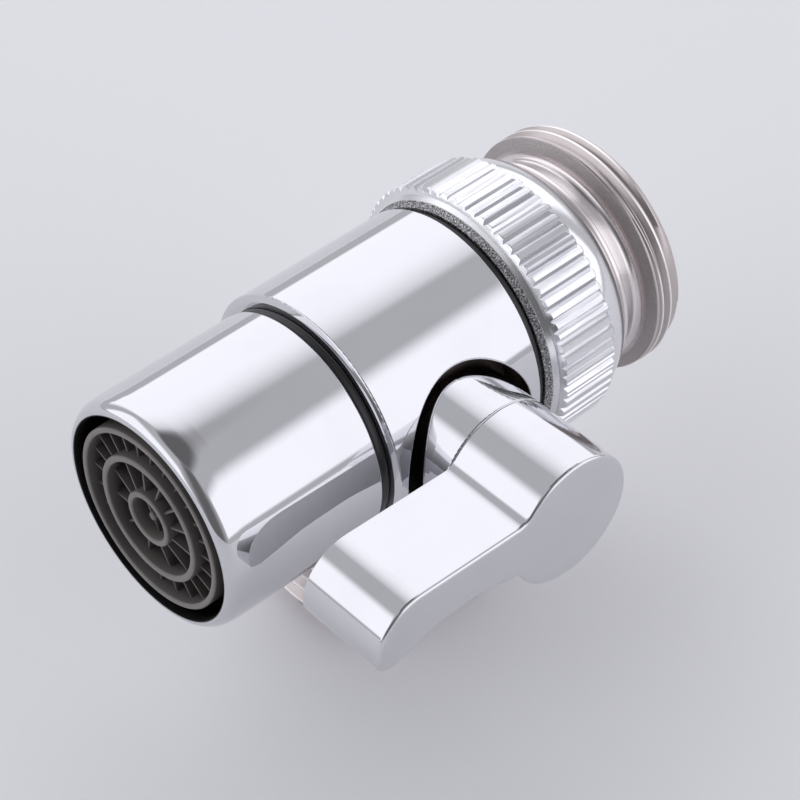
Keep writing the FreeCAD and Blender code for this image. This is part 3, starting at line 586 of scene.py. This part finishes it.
class Blank:
    """A mesh that is shaped along +X, in millimetres, before it goes to its place."""

    def __init__(self) -> None:
        """Start with nothing."""
        self.mesh = bmesh.new()

    def section(self, corners: list[Corner], segments: int) -> list[bmesh.types.BMEdge]:
        """Draw the outline of a half section in an empty blank, with its corners rounded.

        Args:
            corners: Distance along the axis, radius, and how far back the rounding starts.
            segments: How many pieces each rounding has.

        Returns:
            The outline's edges.
        """
        points = [self.mesh.verts.new((along, 0.0, radius)) for along, radius, _ in corners]
        self.mesh.faces.new(points)
        for point, (_, _, setback) in zip(points, corners):
            if setback:
                bmesh.ops.bevel(self.mesh, geom=[point], offset=setback, offset_type="OFFSET",
                                segments=segments, profile=0.5, affect="VERTICES", material=-1)
        self.mesh.faces.ensure_lookup_table()
        face = self.mesh.faces[0]
        edges = list(face.edges)
        bmesh.ops.delete(self.mesh, geom=[face], context="FACES_ONLY")
        return edges

    def turned(self, corners: list[Corner], steps: int = 192, segments: int = 5) -> "Blank":
        """Turn a closed half section about the axis.

        Args:
            corners: The half section's corners, as section() takes them.
            steps: How many steps the full turn has.
            segments: How many pieces each rounded corner has.

        Returns:
            This blank.
        """
        edges = self.section(corners, segments)
        points = list({vert for edge in edges for vert in edge.verts})
        self.spun(points + edges, math.tau, steps, merge=True)
        return self.tidied()

    def spun(self, geometry: list[Any], angle: float, steps: int, climb: float = 0.0, merge: bool = False,
             copies: bool = False) -> None:
        """Spin part of the mesh about the axis.

        Args:
            geometry: The points, edges and faces that are spun.
            angle: How far they turn.
            steps: How many steps the turn has.
            climb: How far each step moves along the axis.
            merge: Whether the last step joins the first.
            copies: Whether loose copies are made instead of faces.
        """
        bmesh.ops.spin(self.mesh, geom=geometry, cent=(0.0, 0.0, 0.0), axis=(1.0, 0.0, 0.0),
                       dvec=(climb, 0.0, 0.0), angle=angle, steps=steps, use_merge=merge,
                       use_duplicate=copies)

    def tidied(self) -> "Blank":
        """Merge doubled points and turn all faces outwards."""
        bmesh.ops.remove_doubles(self.mesh, verts=self.mesh.verts[:], dist=MERGE_DISTANCE)
        bmesh.ops.recalc_face_normals(self.mesh, faces=self.mesh.faces[:])
        return self

    def joined(self, other: "Blank") -> "Blank":
        """Add another blank's mesh to this one and free it."""
        carried = bpy.data.meshes.new("carried")
        other.mesh.to_mesh(carried)
        other.mesh.free()
        self.mesh.from_mesh(carried)
        bpy.data.meshes.remove(carried)
        return self

    def threaded(self, start: float, turns: float, pitch: float, crest: float, depth: float,
                 steps: int = 120) -> "Blank":
        """Wind a thread ridge round the axis, run out at both ends.

        Args:
            start: Where the ridge's middle starts along the axis.
            turns: How many turns it makes.
            pitch: The distance between turns.
            crest: The thread's outer radius.
            depth: How far the thread stands above its root.
            steps: How many steps each turn has.

        Returns:
            This blank.
        """
        root = crest - depth
        sunk = 0.12
        foot, top = 0.46, 0.06
        ridge = Blank()
        shape = [(-foot, root - sunk), (-foot, root), (-top, crest), (top, crest), (foot, root),
                 (foot, root - sunk)]
        points = [ridge.mesh.verts.new((start + share * pitch, 0.0, radius)) for share, radius in shape]
        edges = [ridge.mesh.edges.new((points[i - 1], points[i])) for i in range(len(points))]
        count = round(turns * steps)
        ridge.spun(points + edges, count / steps * math.tau, count, climb=pitch / steps)
        fade = 0.2
        for point in ridge.mesh.verts:
            angle = math.atan2(-point.co.y, point.co.z) / math.tau % 1.0
            turn = angle + round((point.co.x - start) / pitch - angle)
            share = min(1.0, max(0.0, min(turn, turns - turn) / fade))
            radius = math.hypot(point.co.y, point.co.z)
            if radius > root:
                faded = root - sunk / 2 + (radius - root + sunk / 2) * share
                point.co.y *= faded / radius
                point.co.z *= faded / radius
        open_edges = [edge for edge in ridge.mesh.edges if edge.is_boundary]
        bmesh.ops.holes_fill(ridge.mesh, edges=open_edges, sides=0)
        bmesh.ops.recalc_face_normals(ridge.mesh, faces=ridge.mesh.faces[:])
        return self.joined(ridge)

    def placed(self, name: str, direction: Direction) -> bpy.types.Object:
        """Turn the mesh onto its axis, lift it, shrink it to metres and make it an object.

        Args:
            name: The object's name.
            direction: The axis it goes on.

        Returns:
            The new object, at the origin.
        """
        place = Matrix.Scale(MM, 4) @ Matrix.Translation((0.0, 0.0, AXIS_HEIGHT)) @ direction.turn()
        bmesh.ops.transform(self.mesh, matrix=place, verts=self.mesh.verts[:])
        data = bpy.data.meshes.new(name)
        self.mesh.to_mesh(data)
        self.mesh.free()
        data.shade_smooth()
        data.set_sharp_from_angle(angle=SHARP_ANGLE)
        made = linked(name, data)
        even = made.modifiers.new("even_shading", "WEIGHTED_NORMAL")
        even.keep_sharp = True
        return made


def settle(made: bpy.types.Object, finish: Finish, body: Body, slot: str, *nodes: str) -> bpy.types.Object:
    """Give a piece its finish, its body and the CAD nodes it stands for.

    Args:
        made: The piece.
        finish: Its finish.
        body: The CAD body that it rides on.
        slot: Not used.
        nodes: The CAD nodes that it replaces.

    Returns:
        The piece.
    """
    made.data.materials.clear()
    made.data.materials.append(finish.material())
    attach(made, body.value)
    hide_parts(*nodes)
    LOG.info("%s: %d faces, stands for %s", made.name, len(made.data.polygons), ", ".join(nodes))
    return made


@dataclass
class Aerator:
    """The grille in the barrel's mouth: three rings, radial fins and a small hub."""

    face: float = 26.0
    flange_start: float = 18.4
    rib_top: float = 19.6
    flange_radius: float = 9.7
    root_radius: float = 8.95
    face_radius: float = 8.75
    wall: float = 0.56
    ring_depth: float = 4.0
    mid_ring: tuple[float, float] = (5.45, 6.1)
    hub_ring: tuple[float, float] = (2.08, 2.66)
    edge: float = 0.2
    fin_thickness: float = 0.3
    fin_front: float = 0.75
    fin_back: float = 1.8
    fin_edge: float = 0.07
    fin_bite: float = 0.2
    outer_fins: int = 24
    inner_fins: int = 12
    spokes: int = 3
    boss_radius: float = 0.42
    boss_root_radius: float = 0.55
    boss_drop: float = 0.5

    def rings(self) -> Blank:
        """The flanged tube and the two inner rings."""
        root = self.face - self.ring_depth
        blank = Blank().turned([
            (self.flange_start, self.root_radius - 2 * self.wall, 0.0),
            (self.face, self.face_radius - self.wall, self.edge),
            (self.face, self.face_radius, self.edge),
            (self.rib_top, self.root_radius, 0.0),
            (self.rib_top, self.flange_radius, 0.0),
            (self.flange_start, self.flange_radius, 0.1),
        ], segments=4)
        for inner, outer in (self.mid_ring, self.hub_ring):
            blank.joined(Blank().turned([
                (root, inner + 0.08, 0.0),
                (self.face, inner, self.edge),
                (self.face, outer, self.edge),
                (root, outer, 0.0),
            ], steps=128, segments=4))
        return blank

    def fins(self, count: int, inner: float, outer: float, inner_drop: float, outer_drop: float,
             offset: float) -> Blank:
        """A ring of radial blades whose front edges slope.

        Args:
            count: How many blades there are.
            inner: The radius where each blade starts.
            outer: The radius where it ends.
            inner_drop: How far its front edge lies below the face at its inner end.
            outer_drop: The same at its outer end.
            offset: The first blade's angle, in shares of the pitch.

        Returns:
            The blades.
        """
        blank = Blank()
        root = self.face - self.ring_depth
        bmesh.ops.create_cube(blank.mesh, size=1.0)
        for point in blank.mesh.verts:
            outside, front = point.co.z > 0, point.co.x > 0
            drop = outer_drop if outside else inner_drop
            point.co.x = self.face - drop if front else root
            point.co.y *= self.fin_thickness * (self.fin_front if front else self.fin_back)
            point.co.z = outer if outside else inner
        fronts = [edge for edge in blank.mesh.edges
                  if all(point.co.x > root + 0.1 for point in edge.verts)
                  and abs(edge.verts[0].co.z - edge.verts[1].co.z) > 0.1]
        bmesh.ops.bevel(blank.mesh, geom=fronts, offset=self.fin_edge, offset_type="OFFSET", segments=2,
                        profile=0.5, affect="EDGES", material=-1)
        pitch = math.tau / count
        bmesh.ops.rotate(blank.mesh, verts=blank.mesh.verts[:], cent=(0.0, 0.0, 0.0),
                         matrix=Matrix.Rotation(offset * pitch, 3, "X"))
        geometry = blank.mesh.verts[:] + blank.mesh.edges[:] + blank.mesh.faces[:]
        blank.spun(geometry, math.tau - pitch, count - 1, copies=True)
        return blank

    def build(self) -> bpy.types.Object:
        """Build the whole grille as one piece."""
        bite = self.fin_bite
        blank = self.rings()
        for count, inner, outer, inner_drop, outer_drop, offset in (
            (self.outer_fins, self.mid_ring[1] - bite, self.face_radius - self.wall + bite, 0.75, 0.9, 0.0),
            (self.inner_fins, self.hub_ring[1] - bite, self.mid_ring[0] + bite, 0.45, 0.9, 0.5),
            (self.spokes, 0.0, self.hub_ring[0] + bite, 0.6, 1.1, 0.5),
        ):
            blank.joined(self.fins(count, inner, outer, inner_drop, outer_drop, offset))
        root = self.face - self.ring_depth
        blank.joined(Blank().turned([
            (root, 0.0, 0.0),
            (root, self.boss_root_radius, 0.0),
            (self.face - self.boss_drop, self.boss_radius, 0.15),
            (self.face - self.boss_drop + 0.05, 0.0, 0.0),
        ], steps=32, segments=3))
        made = blank.placed("aerator_grille_moulding", Direction.AERATOR)
        return settle(made, FINISHES["grey_plastic"], Body.VALVE, "grey_plastic", "aerator_grille")


@dataclass
class Barrel:
    """The plated barrel with its rolled lip and the inner rib that holds the grille."""

    start: float = 9.3
    end: float = 26.0
    radius: float = 11.0
    bore: float = 9.85
    rib_radius: float = 9.1
    rib_start: float = 19.62
    rib_end: float = 21.0
    mouth_edge: float = 0.05

    def build(self) -> bpy.types.Object:
        """Turn the barrel."""
        made = Blank().turned([
            (self.start, self.bore, 0.0),
            (self.rib_start, self.bore, 0.0),
            (self.rib_start, self.rib_radius, 0.0),
            (self.rib_end, self.rib_radius, 0.0),
            (self.rib_end, self.bore, 0.0),
            (self.end, self.bore, self.mouth_edge),
            (self.end, self.bore + 0.36, 0.2),
            (self.end - 0.22, self.radius - 0.5, 0.25),
            (self.end - 0.75, self.radius - 0.16, 0.3),
            (self.end - 1.7, self.radius - 0.03, 0.45),
            (self.end - 3.0, self.radius, 0.5),
            (self.start + 0.2, self.radius, 0.06),
            (self.start, self.radius - 0.2, 0.06),
        ], segments=6).placed("plated_barrel", Direction.AERATOR)
        return settle(made, BARREL_CHROME, Body.VALVE, "body_chrome", "aerator_barrel")


@dataclass
class SwivelNut:
    """The knurled nut that turns on the inlet spigot."""

    start: float = 9.25
    end: float = 19.4
    shoulder: float = 2.25
    shoulder_bore: float = 8.15
    thread_radius: float = 10.5
    foot_radius: float = 11.7
    foot_edge_radius: float = 12.15
    foot_length: float = 0.5
    ring_end: float = 10.2
    ring_radius: float = 12.5
    knurl_end: float = 16.5
    crest: float = 13.2
    groove_depth: float = 0.42
    band_radius: float = 12.8
    top_radius: float = 11.5
    rib_slope: float = 0.55
    foot_scatter: tuple[float, float] = (-0.06, 0.06)
    top_scatter: tuple[float, float] = (-0.12, 0.1)
    ribs: int = 70
    seed: int = 11

    def columns(self) -> list[tuple[float, float, int]]:
        """Angle, height share and rib number of each column of points round the nut."""
        draw = random.Random(self.seed)
        widths = [draw.uniform(0.84, 1.16) for _ in range(self.ribs)]
        scale = math.tau / sum(widths)
        made: list[tuple[float, float, int]] = []
        angle = 0.0
        for number, width in enumerate(widths):
            pitch = width * scale
            rise = draw.uniform(0.2, 0.3)
            fall = draw.uniform(0.22, 0.32)
            dip = draw.uniform(0.72, 0.9) if draw.random() < 0.3 else 1.0
            first = draw.uniform(0.86, 1.0)
            shape = ((0.0, 0.0), (rise, first), (0.5, dip), (0.58, 1.0), (1.0 - fall, 1.0))
            made += [(angle + share * pitch, height, number) for share, height in shape]
            angle += pitch
        return made

    def build(self) -> bpy.types.Object:
        """Turn the nut, then press its ribs, whose ends follow the foot's cone."""
        columns = self.columns()
        steps = len(columns)
        root = self.crest - self.groove_depth
        blank = Blank().turned([
            (self.start, self.shoulder_bore, 0.0),
            (self.start, self.foot_radius, 0.0),
            (self.start + self.foot_length, self.foot_edge_radius, 0.0),
            (self.ring_end, self.ring_radius, 0.0),
            (self.ring_end + 0.08, root - 0.02, 0.0),
            (self.ring_end + 0.36, self.crest - 0.03, 0.0),
            (self.ring_end + 0.44, self.crest, 0.0),
            (self.knurl_end - 0.1, self.crest, 0.0),
            (self.knurl_end, self.crest - 0.08, 0.0),
            (self.knurl_end + 0.03, self.band_radius, 0.0),
            (self.knurl_end + 0.9, self.band_radius - 0.12, 0.7),
            (self.end - 0.35, self.top_radius + 0.3, 0.3),
            (self.end, self.top_radius, 0.0),
            (self.end, self.thread_radius, 0.0),
            (self.start + self.shoulder, self.thread_radius, 0.0),
            (self.start + self.shoulder, self.shoulder_bore, 0.0),
        ], steps=steps, segments=5)
        draw = random.Random(self.seed + 1)
        ragged = [(draw.uniform(*self.foot_scatter), draw.uniform(*self.top_scatter))
                  for _ in range(self.ribs)]
        step = math.tau / steps
        for point in blank.mesh.verts:
            radius = math.hypot(point.co.y, point.co.z)
            angle, height, rib = columns[round(math.atan2(-point.co.y, point.co.z) / step) % steps]
            if radius > self.crest - 0.1:
                lowered = root + (radius - root) * height
                foot, top = ragged[rib]
                at_foot = point.co.x < self.ring_end + 1.0
                point.co.x += foot - self.rib_slope * (radius - lowered) if at_foot else top
                radius = lowered
            point.co.y = -radius * math.sin(angle)
            point.co.z = radius * math.cos(angle)
        made = blank.placed("knurled_swivel_nut", Direction.INLET)
        return settle(made, FINISHES["nut_chrome"], Body.NUT, "nut_chrome", "swivel_nut")


@dataclass
class ThreadAdapter:
    """The adapter with a waisted neck and a fine male thread."""

    start: float = 15.0
    nut_end: float = 19.4
    collar_length: float = 1.2
    collar_radius: float = 10.9
    neck_radius: float = 9.9
    neck_end: float = 22.86
    bevel_radius: float = 10.72
    thread_start: float = 23.3
    end: float = 26.5
    crest: float = 12.0
    depth: float = 0.5
    pitch: float = 1.0
    bore: float = 8.4
    washer_radius: float = 10.35
    washer_depth: float = 1.6
    lower_radius: float = 10.45

    def build(self) -> bpy.types.Object:
        """Turn the adapter and wind its thread."""
        root = self.crest - self.depth
        neck_start = self.nut_end + self.collar_length
        blank = Blank().turned([
            (self.start, self.bore, 0.1),
            (self.end - self.washer_depth, self.bore, 0.1),
            (self.end - self.washer_depth, self.washer_radius, 0.0),
            (self.end, self.washer_radius, 0.12),
            (self.end, root - 0.05, 0.12),
            (self.end - 0.35, root, 0.0),
            (self.thread_start + 0.35, root, 0.0),
            (self.thread_start + 0.2, self.crest - 0.04, 0.06),
            (self.thread_start, self.crest - 0.12, 0.1),
            (self.neck_end, self.bevel_radius, 0.05),
            (self.neck_end, self.neck_radius, 0.72),
            (neck_start, self.neck_radius, 0.35),
            (neck_start, self.collar_radius, 0.16),
            (neck_start - 0.5, self.collar_radius, 0.05),
            (neck_start - 0.58, self.collar_radius - 0.16, 0.0),
            (neck_start - 0.74, self.collar_radius - 0.16, 0.0),
            (neck_start - 0.82, self.collar_radius, 0.05),
            (self.nut_end + 0.12, self.collar_radius, 0.05),
            (self.nut_end, self.collar_radius - 0.25, 0.0),
            (self.nut_end, self.lower_radius, 0.0),
            (self.start, self.lower_radius, 0.2),
        ], segments=6)
        blank.threaded(self.thread_start + 0.44, 2.25, self.pitch, self.crest, self.depth)
        made = blank.placed("inlet_thread_adapter", Direction.INLET)
        return settle(made, FINISHES["satin_nickel"], Body.NUT, "satin_nickel", "thread_adapter")


@dataclass
class OutletNipple:
    """The side outlet with its coarse pipe thread."""

    inner_end: float = 8.2
    boss_face: float = 12.8
    thread_start: float = 14.0
    end: float = 24.2
    waterway: float = 4.2
    bore: float = 7.4
    inner_radius: float = 6.95
    groove_start: float = 11.1
    groove_end: float = 12.3
    groove_radius: float = 6.2
    neck_radius: float = 8.2
    crest: float = 10.48
    depth: float = 1.05
    pitch: float = 1.814

    def build(self) -> bpy.types.Object:
        """Turn the nipple and wind its thread."""
        root = self.crest - self.depth
        blank = Blank().turned([
            (self.inner_end, self.waterway, 0.0),
            (self.boss_face - 1.0, self.waterway, 0.0),
            (self.thread_start + 1.0, self.bore, 0.4),
            (self.end, self.bore, 0.15),
            (self.end, root - 0.3, 0.1),
            (self.end - 0.5, root, 0.0),
            (self.thread_start + 0.6, root, 0.0),
            (self.thread_start, root - 0.5, 0.15),
            (self.thread_start, self.neck_radius, 0.25),
            (self.boss_face, self.neck_radius, 0.0),
            (self.boss_face, self.inner_radius, 0.0),
            (self.groove_end, self.inner_radius, 0.0),
            (self.groove_end, self.groove_radius, 0.0),
            (self.groove_start, self.groove_radius, 0.0),
            (self.groove_start, self.inner_radius, 0.0),
            (self.inner_end, self.inner_radius, 0.15),
        ], segments=4)
        blank.threaded(self.thread_start + 1.25, 4.35, self.pitch, self.crest, self.depth)
        made = blank.placed("outlet_thread_nipple", Direction.OUTLET)
        return settle(made, OUTLET_NICKEL, Body.VALVE, "satin_nickel", "outlet_nipple")


@dataclass
class Seals:
    """The black rings and washers that show at the joints."""

    rounding: float = 0.14
    joint_start: float = 8.42
    joint_end: float = 9.28
    joint_bore: float = 9.8
    joint_radius: float = 10.8
    joint_edge_radius: float = 10.72
    swivel: tuple[float, float, float, float] = (8.15, 11.5, 8.41, 9.2)
    sunk: tuple[float, float, float, float] = (8.5, 10.3, 24.92, 26.38)

    def ring(self, inner: float, outer: float, start: float, end: float) -> Blank:
        """A ring with soft edges.

        Args:
            inner: Its bore radius.
            outer: Its outer radius.
            start: Where it starts along the axis.
            end: Where it ends.

        Returns:
            The ring.
        """
        soft = min(self.rounding, (end - start) * 0.35)
        corners = [(start, inner, soft), (end, inner, soft), (end, outer, soft), (start, outer, soft)]
        return Blank().turned(corners, segments=4)

    def build(self) -> list[bpy.types.Object]:
        """Build the barrel's ring, the nut's washer and the adapter's washer."""
        rubber = FINISHES["black_rubber"]
        barrel = Blank().turned([
            (self.joint_start, self.joint_bore, 0.0),
            (self.joint_end, self.joint_bore, 0.0),
            (self.joint_end, self.joint_edge_radius, 0.1),
            (self.joint_end - 0.23, self.joint_radius, 0.1),
            (self.joint_start + 0.18, self.joint_radius, 0.1),
            (self.joint_start, self.joint_edge_radius, 0.1),
        ], segments=3).placed("barrel_joint_ring", Direction.AERATOR)
        swivel = self.ring(*self.swivel).placed("swivel_joint_washer", Direction.INLET)
        sunk = self.ring(*self.sunk).placed("adapter_end_washer", Direction.INLET)
        return [
            settle(barrel, rubber, Body.VALVE, "black_rubber", "barrel_seal"),
            settle(swivel, rubber, Body.VALVE, "black_rubber", "swivel_washer"),
            settle(sunk, rubber, Body.NUT, "black_rubber", "end_washer"),
        ]


@dataclass
class CarriedPieces:
    """The CAD nodes that keep their own shape and only get a finish."""

    nodes: dict[str, bpy.types.Object] = field(default_factory=dict)

    def dress(self) -> None:
        """Swap each shown node's plain material for the finish of its slot."""
        for name, node in sorted(self.nodes.items()):
            if node.hide_render:
                continue
            slot = node.data.materials[0].name.split(".")[0]
            finish = COLLAR_CHROME if name == "bonnet" else FINISHES[slot]
            node.data.materials[0] = finish.material()
            LOG.info("%s: carried over in %s", name, slot)


class Softbox(Effect):
    """A soft rectangle of light seen in one direction."""

    name = "softbox"
    inputs = (
        ("Look", "NodeSocketVector", (0.0, 0.0, 1.0)),
        ("Centre", "NodeSocketVector", (0.0, 1.0, 0.0)),
        ("Across", "NodeSocketVector", (1.0, 0.0, 0.0)),
        ("Upright", "NodeSocketVector", (0.0, 0.0, 1.0)),
        ("Width", "NodeSocketFloat", 0.7),
        ("Bottom", "NodeSocketFloat", 0.1),
        ("Top", "NodeSocketFloat", 1.0),
        ("Side edge", "NodeSocketFloat", 0.1),
        ("Top edge", "NodeSocketFloat", 0.3),
    )
    outputs = (("Light", "NodeSocketFloat"),)

    @classmethod
    def build(cls, bench: Bench, entry: Any) -> dict[str, Socket]:
        """Project the direction onto the box's plane and fade it at the edges."""
        depth = bench.maths("MAXIMUM", bench.dot(entry["Look"], entry["Centre"]), 0.0001)
        across = bench.maths("ABSOLUTE", bench.dot(entry["Look"], entry["Across"]))
        across = bench.maths("DIVIDE", across, depth)
        height = bench.maths("DIVIDE", bench.dot(entry["Look"], entry["Upright"]), depth)
        side, top = (bench.span(value, bench.maths("ADD", entry[limit], entry[edge]),
                                bench.maths("SUBTRACT", entry[limit], entry[edge]))
                     for value, limit, edge in ((across, "Width", "Side edge"), (height, "Top", "Top edge")))
        foot_edge = 0.03
        foot = bench.span(height, bench.maths("SUBTRACT", entry["Bottom"], foot_edge),
                          bench.maths("ADD", entry["Bottom"], foot_edge))
        return {"Light": bench.times(bench.times(side, top), foot)}


@dataclass
class Studio:
    """Camera, pale floor, soft boxes of light and one soft key lamp."""

    camera_place: tuple[float, float, float] = (-114.2, -125.0, 188.3)
    camera_right: tuple[float, float, float] = (0.7334, -0.6798, 0.0048)
    camera_up: tuple[float, float, float] = (0.4754, 0.5180, 0.7110)
    lens: float = 120.4
    pale: Colour = (0.745, 0.745, 0.805, 1.0)
    room: Colour = (0.57, 0.57, 0.60, 1.0)
    dark: Colour = (0.16, 0.16, 0.165, 1.0)
    box_light: Colour = (1.33, 1.33, 1.40, 1.0)
    back: tuple[float, float, float] = (0.683, 0.730, 0.0)
    right: tuple[float, float, float] = (0.730, -0.683, 0.0)
    side_turn: float = 0.18
    overhead: tuple[float, float] = (0.885, 0.96)
    floor_size: float = 0.9
    # Floor colours and fade: a painted falloff of light, darker towards the front right.
    floor_front: Colour = (0.91, 0.91, 0.93, 1.0)
    floor_back: Colour = (0.945, 0.945, 0.97, 1.0)
    painted_floor_falloff: tuple[float, float] = (-0.04, 0.16)
    lamp_place: tuple[float, float, float] = (-0.05, 0.42, 0.55)
    lamp_size: float = 0.35
    lamp_power: float = 0.15

    def camera(self) -> None:
        """Put the camera where the photograph was taken from."""
        data = bpy.data.cameras.new("camera")
        data.lens = self.lens
        data.sensor_width = 36.0
        data.clip_start = 0.01
        made = linked("camera", data)
        right = Vector(self.camera_right).normalized()
        up = Vector(self.camera_up)
        up = (up - right * up.dot(right)).normalized()
        turn = Matrix((right, up, right.cross(up))).transposed()
        made.matrix_world = Matrix.Translation(Vector(self.camera_place) * MM) @ turn.to_4x4()
        bpy.context.scene.camera = made

    def floor(self) -> None:
        """Lay a pale floor whose colour fades a little towards the front right: a painted falloff of the
        light.
        """
        mesh = bmesh.new()
        bmesh.ops.create_grid(mesh, x_segments=2, y_segments=2, size=self.floor_size / 2)
        data = bpy.data.meshes.new("floor")
        mesh.to_mesh(data)
        mesh.free()
        made = linked("floor", data)
        material = bpy.data.materials.new("floor_paint")
        material.use_nodes = True
        tree = material.node_tree
        tree.nodes.clear()
        bench = Bench(tree)
        place = bench.add("TexCoord").outputs["Object"]
        # Painted shade: the floor's colour darkens towards the front right, standing in for the light's
        # falloff.
        share = bench.span(bench.dot(place, self.back), *self.painted_floor_falloff, smooth=False)
        colour = bench.blend(share, self.floor_front, self.floor_back)
        shader = bench.add("BsdfPrincipled", {"Base Color": colour, "Roughness": 0.55,
                                              "Specular IOR Level": 0.25})
        bench.add("OutputMaterial", {"Surface": shader.outputs[0]})
        data.materials.append(material)

    def world(self) -> None:
        """Surround the valve with three soft boxes in a grey room, dark overhead and behind the camera."""
        world = bpy.data.worlds.new("studio")
        bpy.context.scene.world = world
        world.use_nodes = True
        tree = world.node_tree
        tree.nodes.clear()
        bench = Bench(tree)
        look = bench.add("TexCoord").outputs["Generated"]
        back = Vector(self.back)
        right = Vector(self.right)
        left_side, right_side = ((side - back * self.side_turn).normalized() for side in (-right, right))
        colour: Any = self.room
        for centre, width, bottom, top, side_edge, top_edge, light in (
            (-back, 0.5, -0.05, 2.6, 0.3, 1.0, self.dark),
            (back, 0.85, 0.12, 1.85, 0.2, 0.95, self.box_light),
            (left_side, 0.85, 0.03, 1.03, 0.1, 0.24, self.box_light),
            (right_side, 0.85, 0.03, 1.03, 0.1, 0.24, self.box_light),
        ):
            across = centre.cross(Vector((0.0, 0.0, 1.0)))
            mask = Softbox.place(bench, {"Look": look, "Centre": centre, "Across": across, "Width": width,
                                         "Bottom": bottom, "Top": top, "Side edge": side_edge,
                                         "Top edge": top_edge})["Light"]
            colour = bench.blend(mask, colour, light)
        height = bench.add("SeparateXYZ", {0: look}).outputs["Z"]
        colour = bench.blend(bench.span(height, *self.overhead), colour, self.dark)
        lit = bench.add("Background", {"Color": colour})
        plain = bench.add("Background", {"Color": self.pale})
        seen = bench.add("LightPath").outputs["Is Camera Ray"]
        mixed = bench.add("MixShader", {0: seen, 1: lit.outputs[0], 2: plain.outputs[0]})
        bench.add("OutputWorld", {"Surface": mixed.outputs[0]})

    def key_lamp(self) -> None:
        """Hang one soft lamp behind and to the left, which gives the shadow its direction."""
        data = bpy.data.lights.new("key", "AREA")
        data.shape = "SQUARE"
        data.size = self.lamp_size
        data.energy = self.lamp_power
        made = linked("key", data)
        place = Vector(self.lamp_place)
        made.matrix_world = Matrix.Translation(place) @ place.to_track_quat("Z", "Y").to_matrix().to_4x4()
        made.visible_glossy = False

    def build(self) -> None:
        """Set the whole studio up."""
        bpy.context.scene.view_settings.view_transform = "Standard"
        self.camera()
        self.floor()
        self.world()
        self.key_lamp()


def main() -> None:
    """Load the frame and build each sub-assembly."""
    logging.basicConfig(level=logging.INFO, format="%(name)s: %(message)s")
    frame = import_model()
    Studio().build()
    SwivelNut().build()
    ThreadAdapter().build()
    OutletNipple().build()
    Aerator().build()
    Barrel().build()
    Seals().build()
    CarriedPieces(frame["nodes"]).dress()


if __name__ == "__main__":
    main()
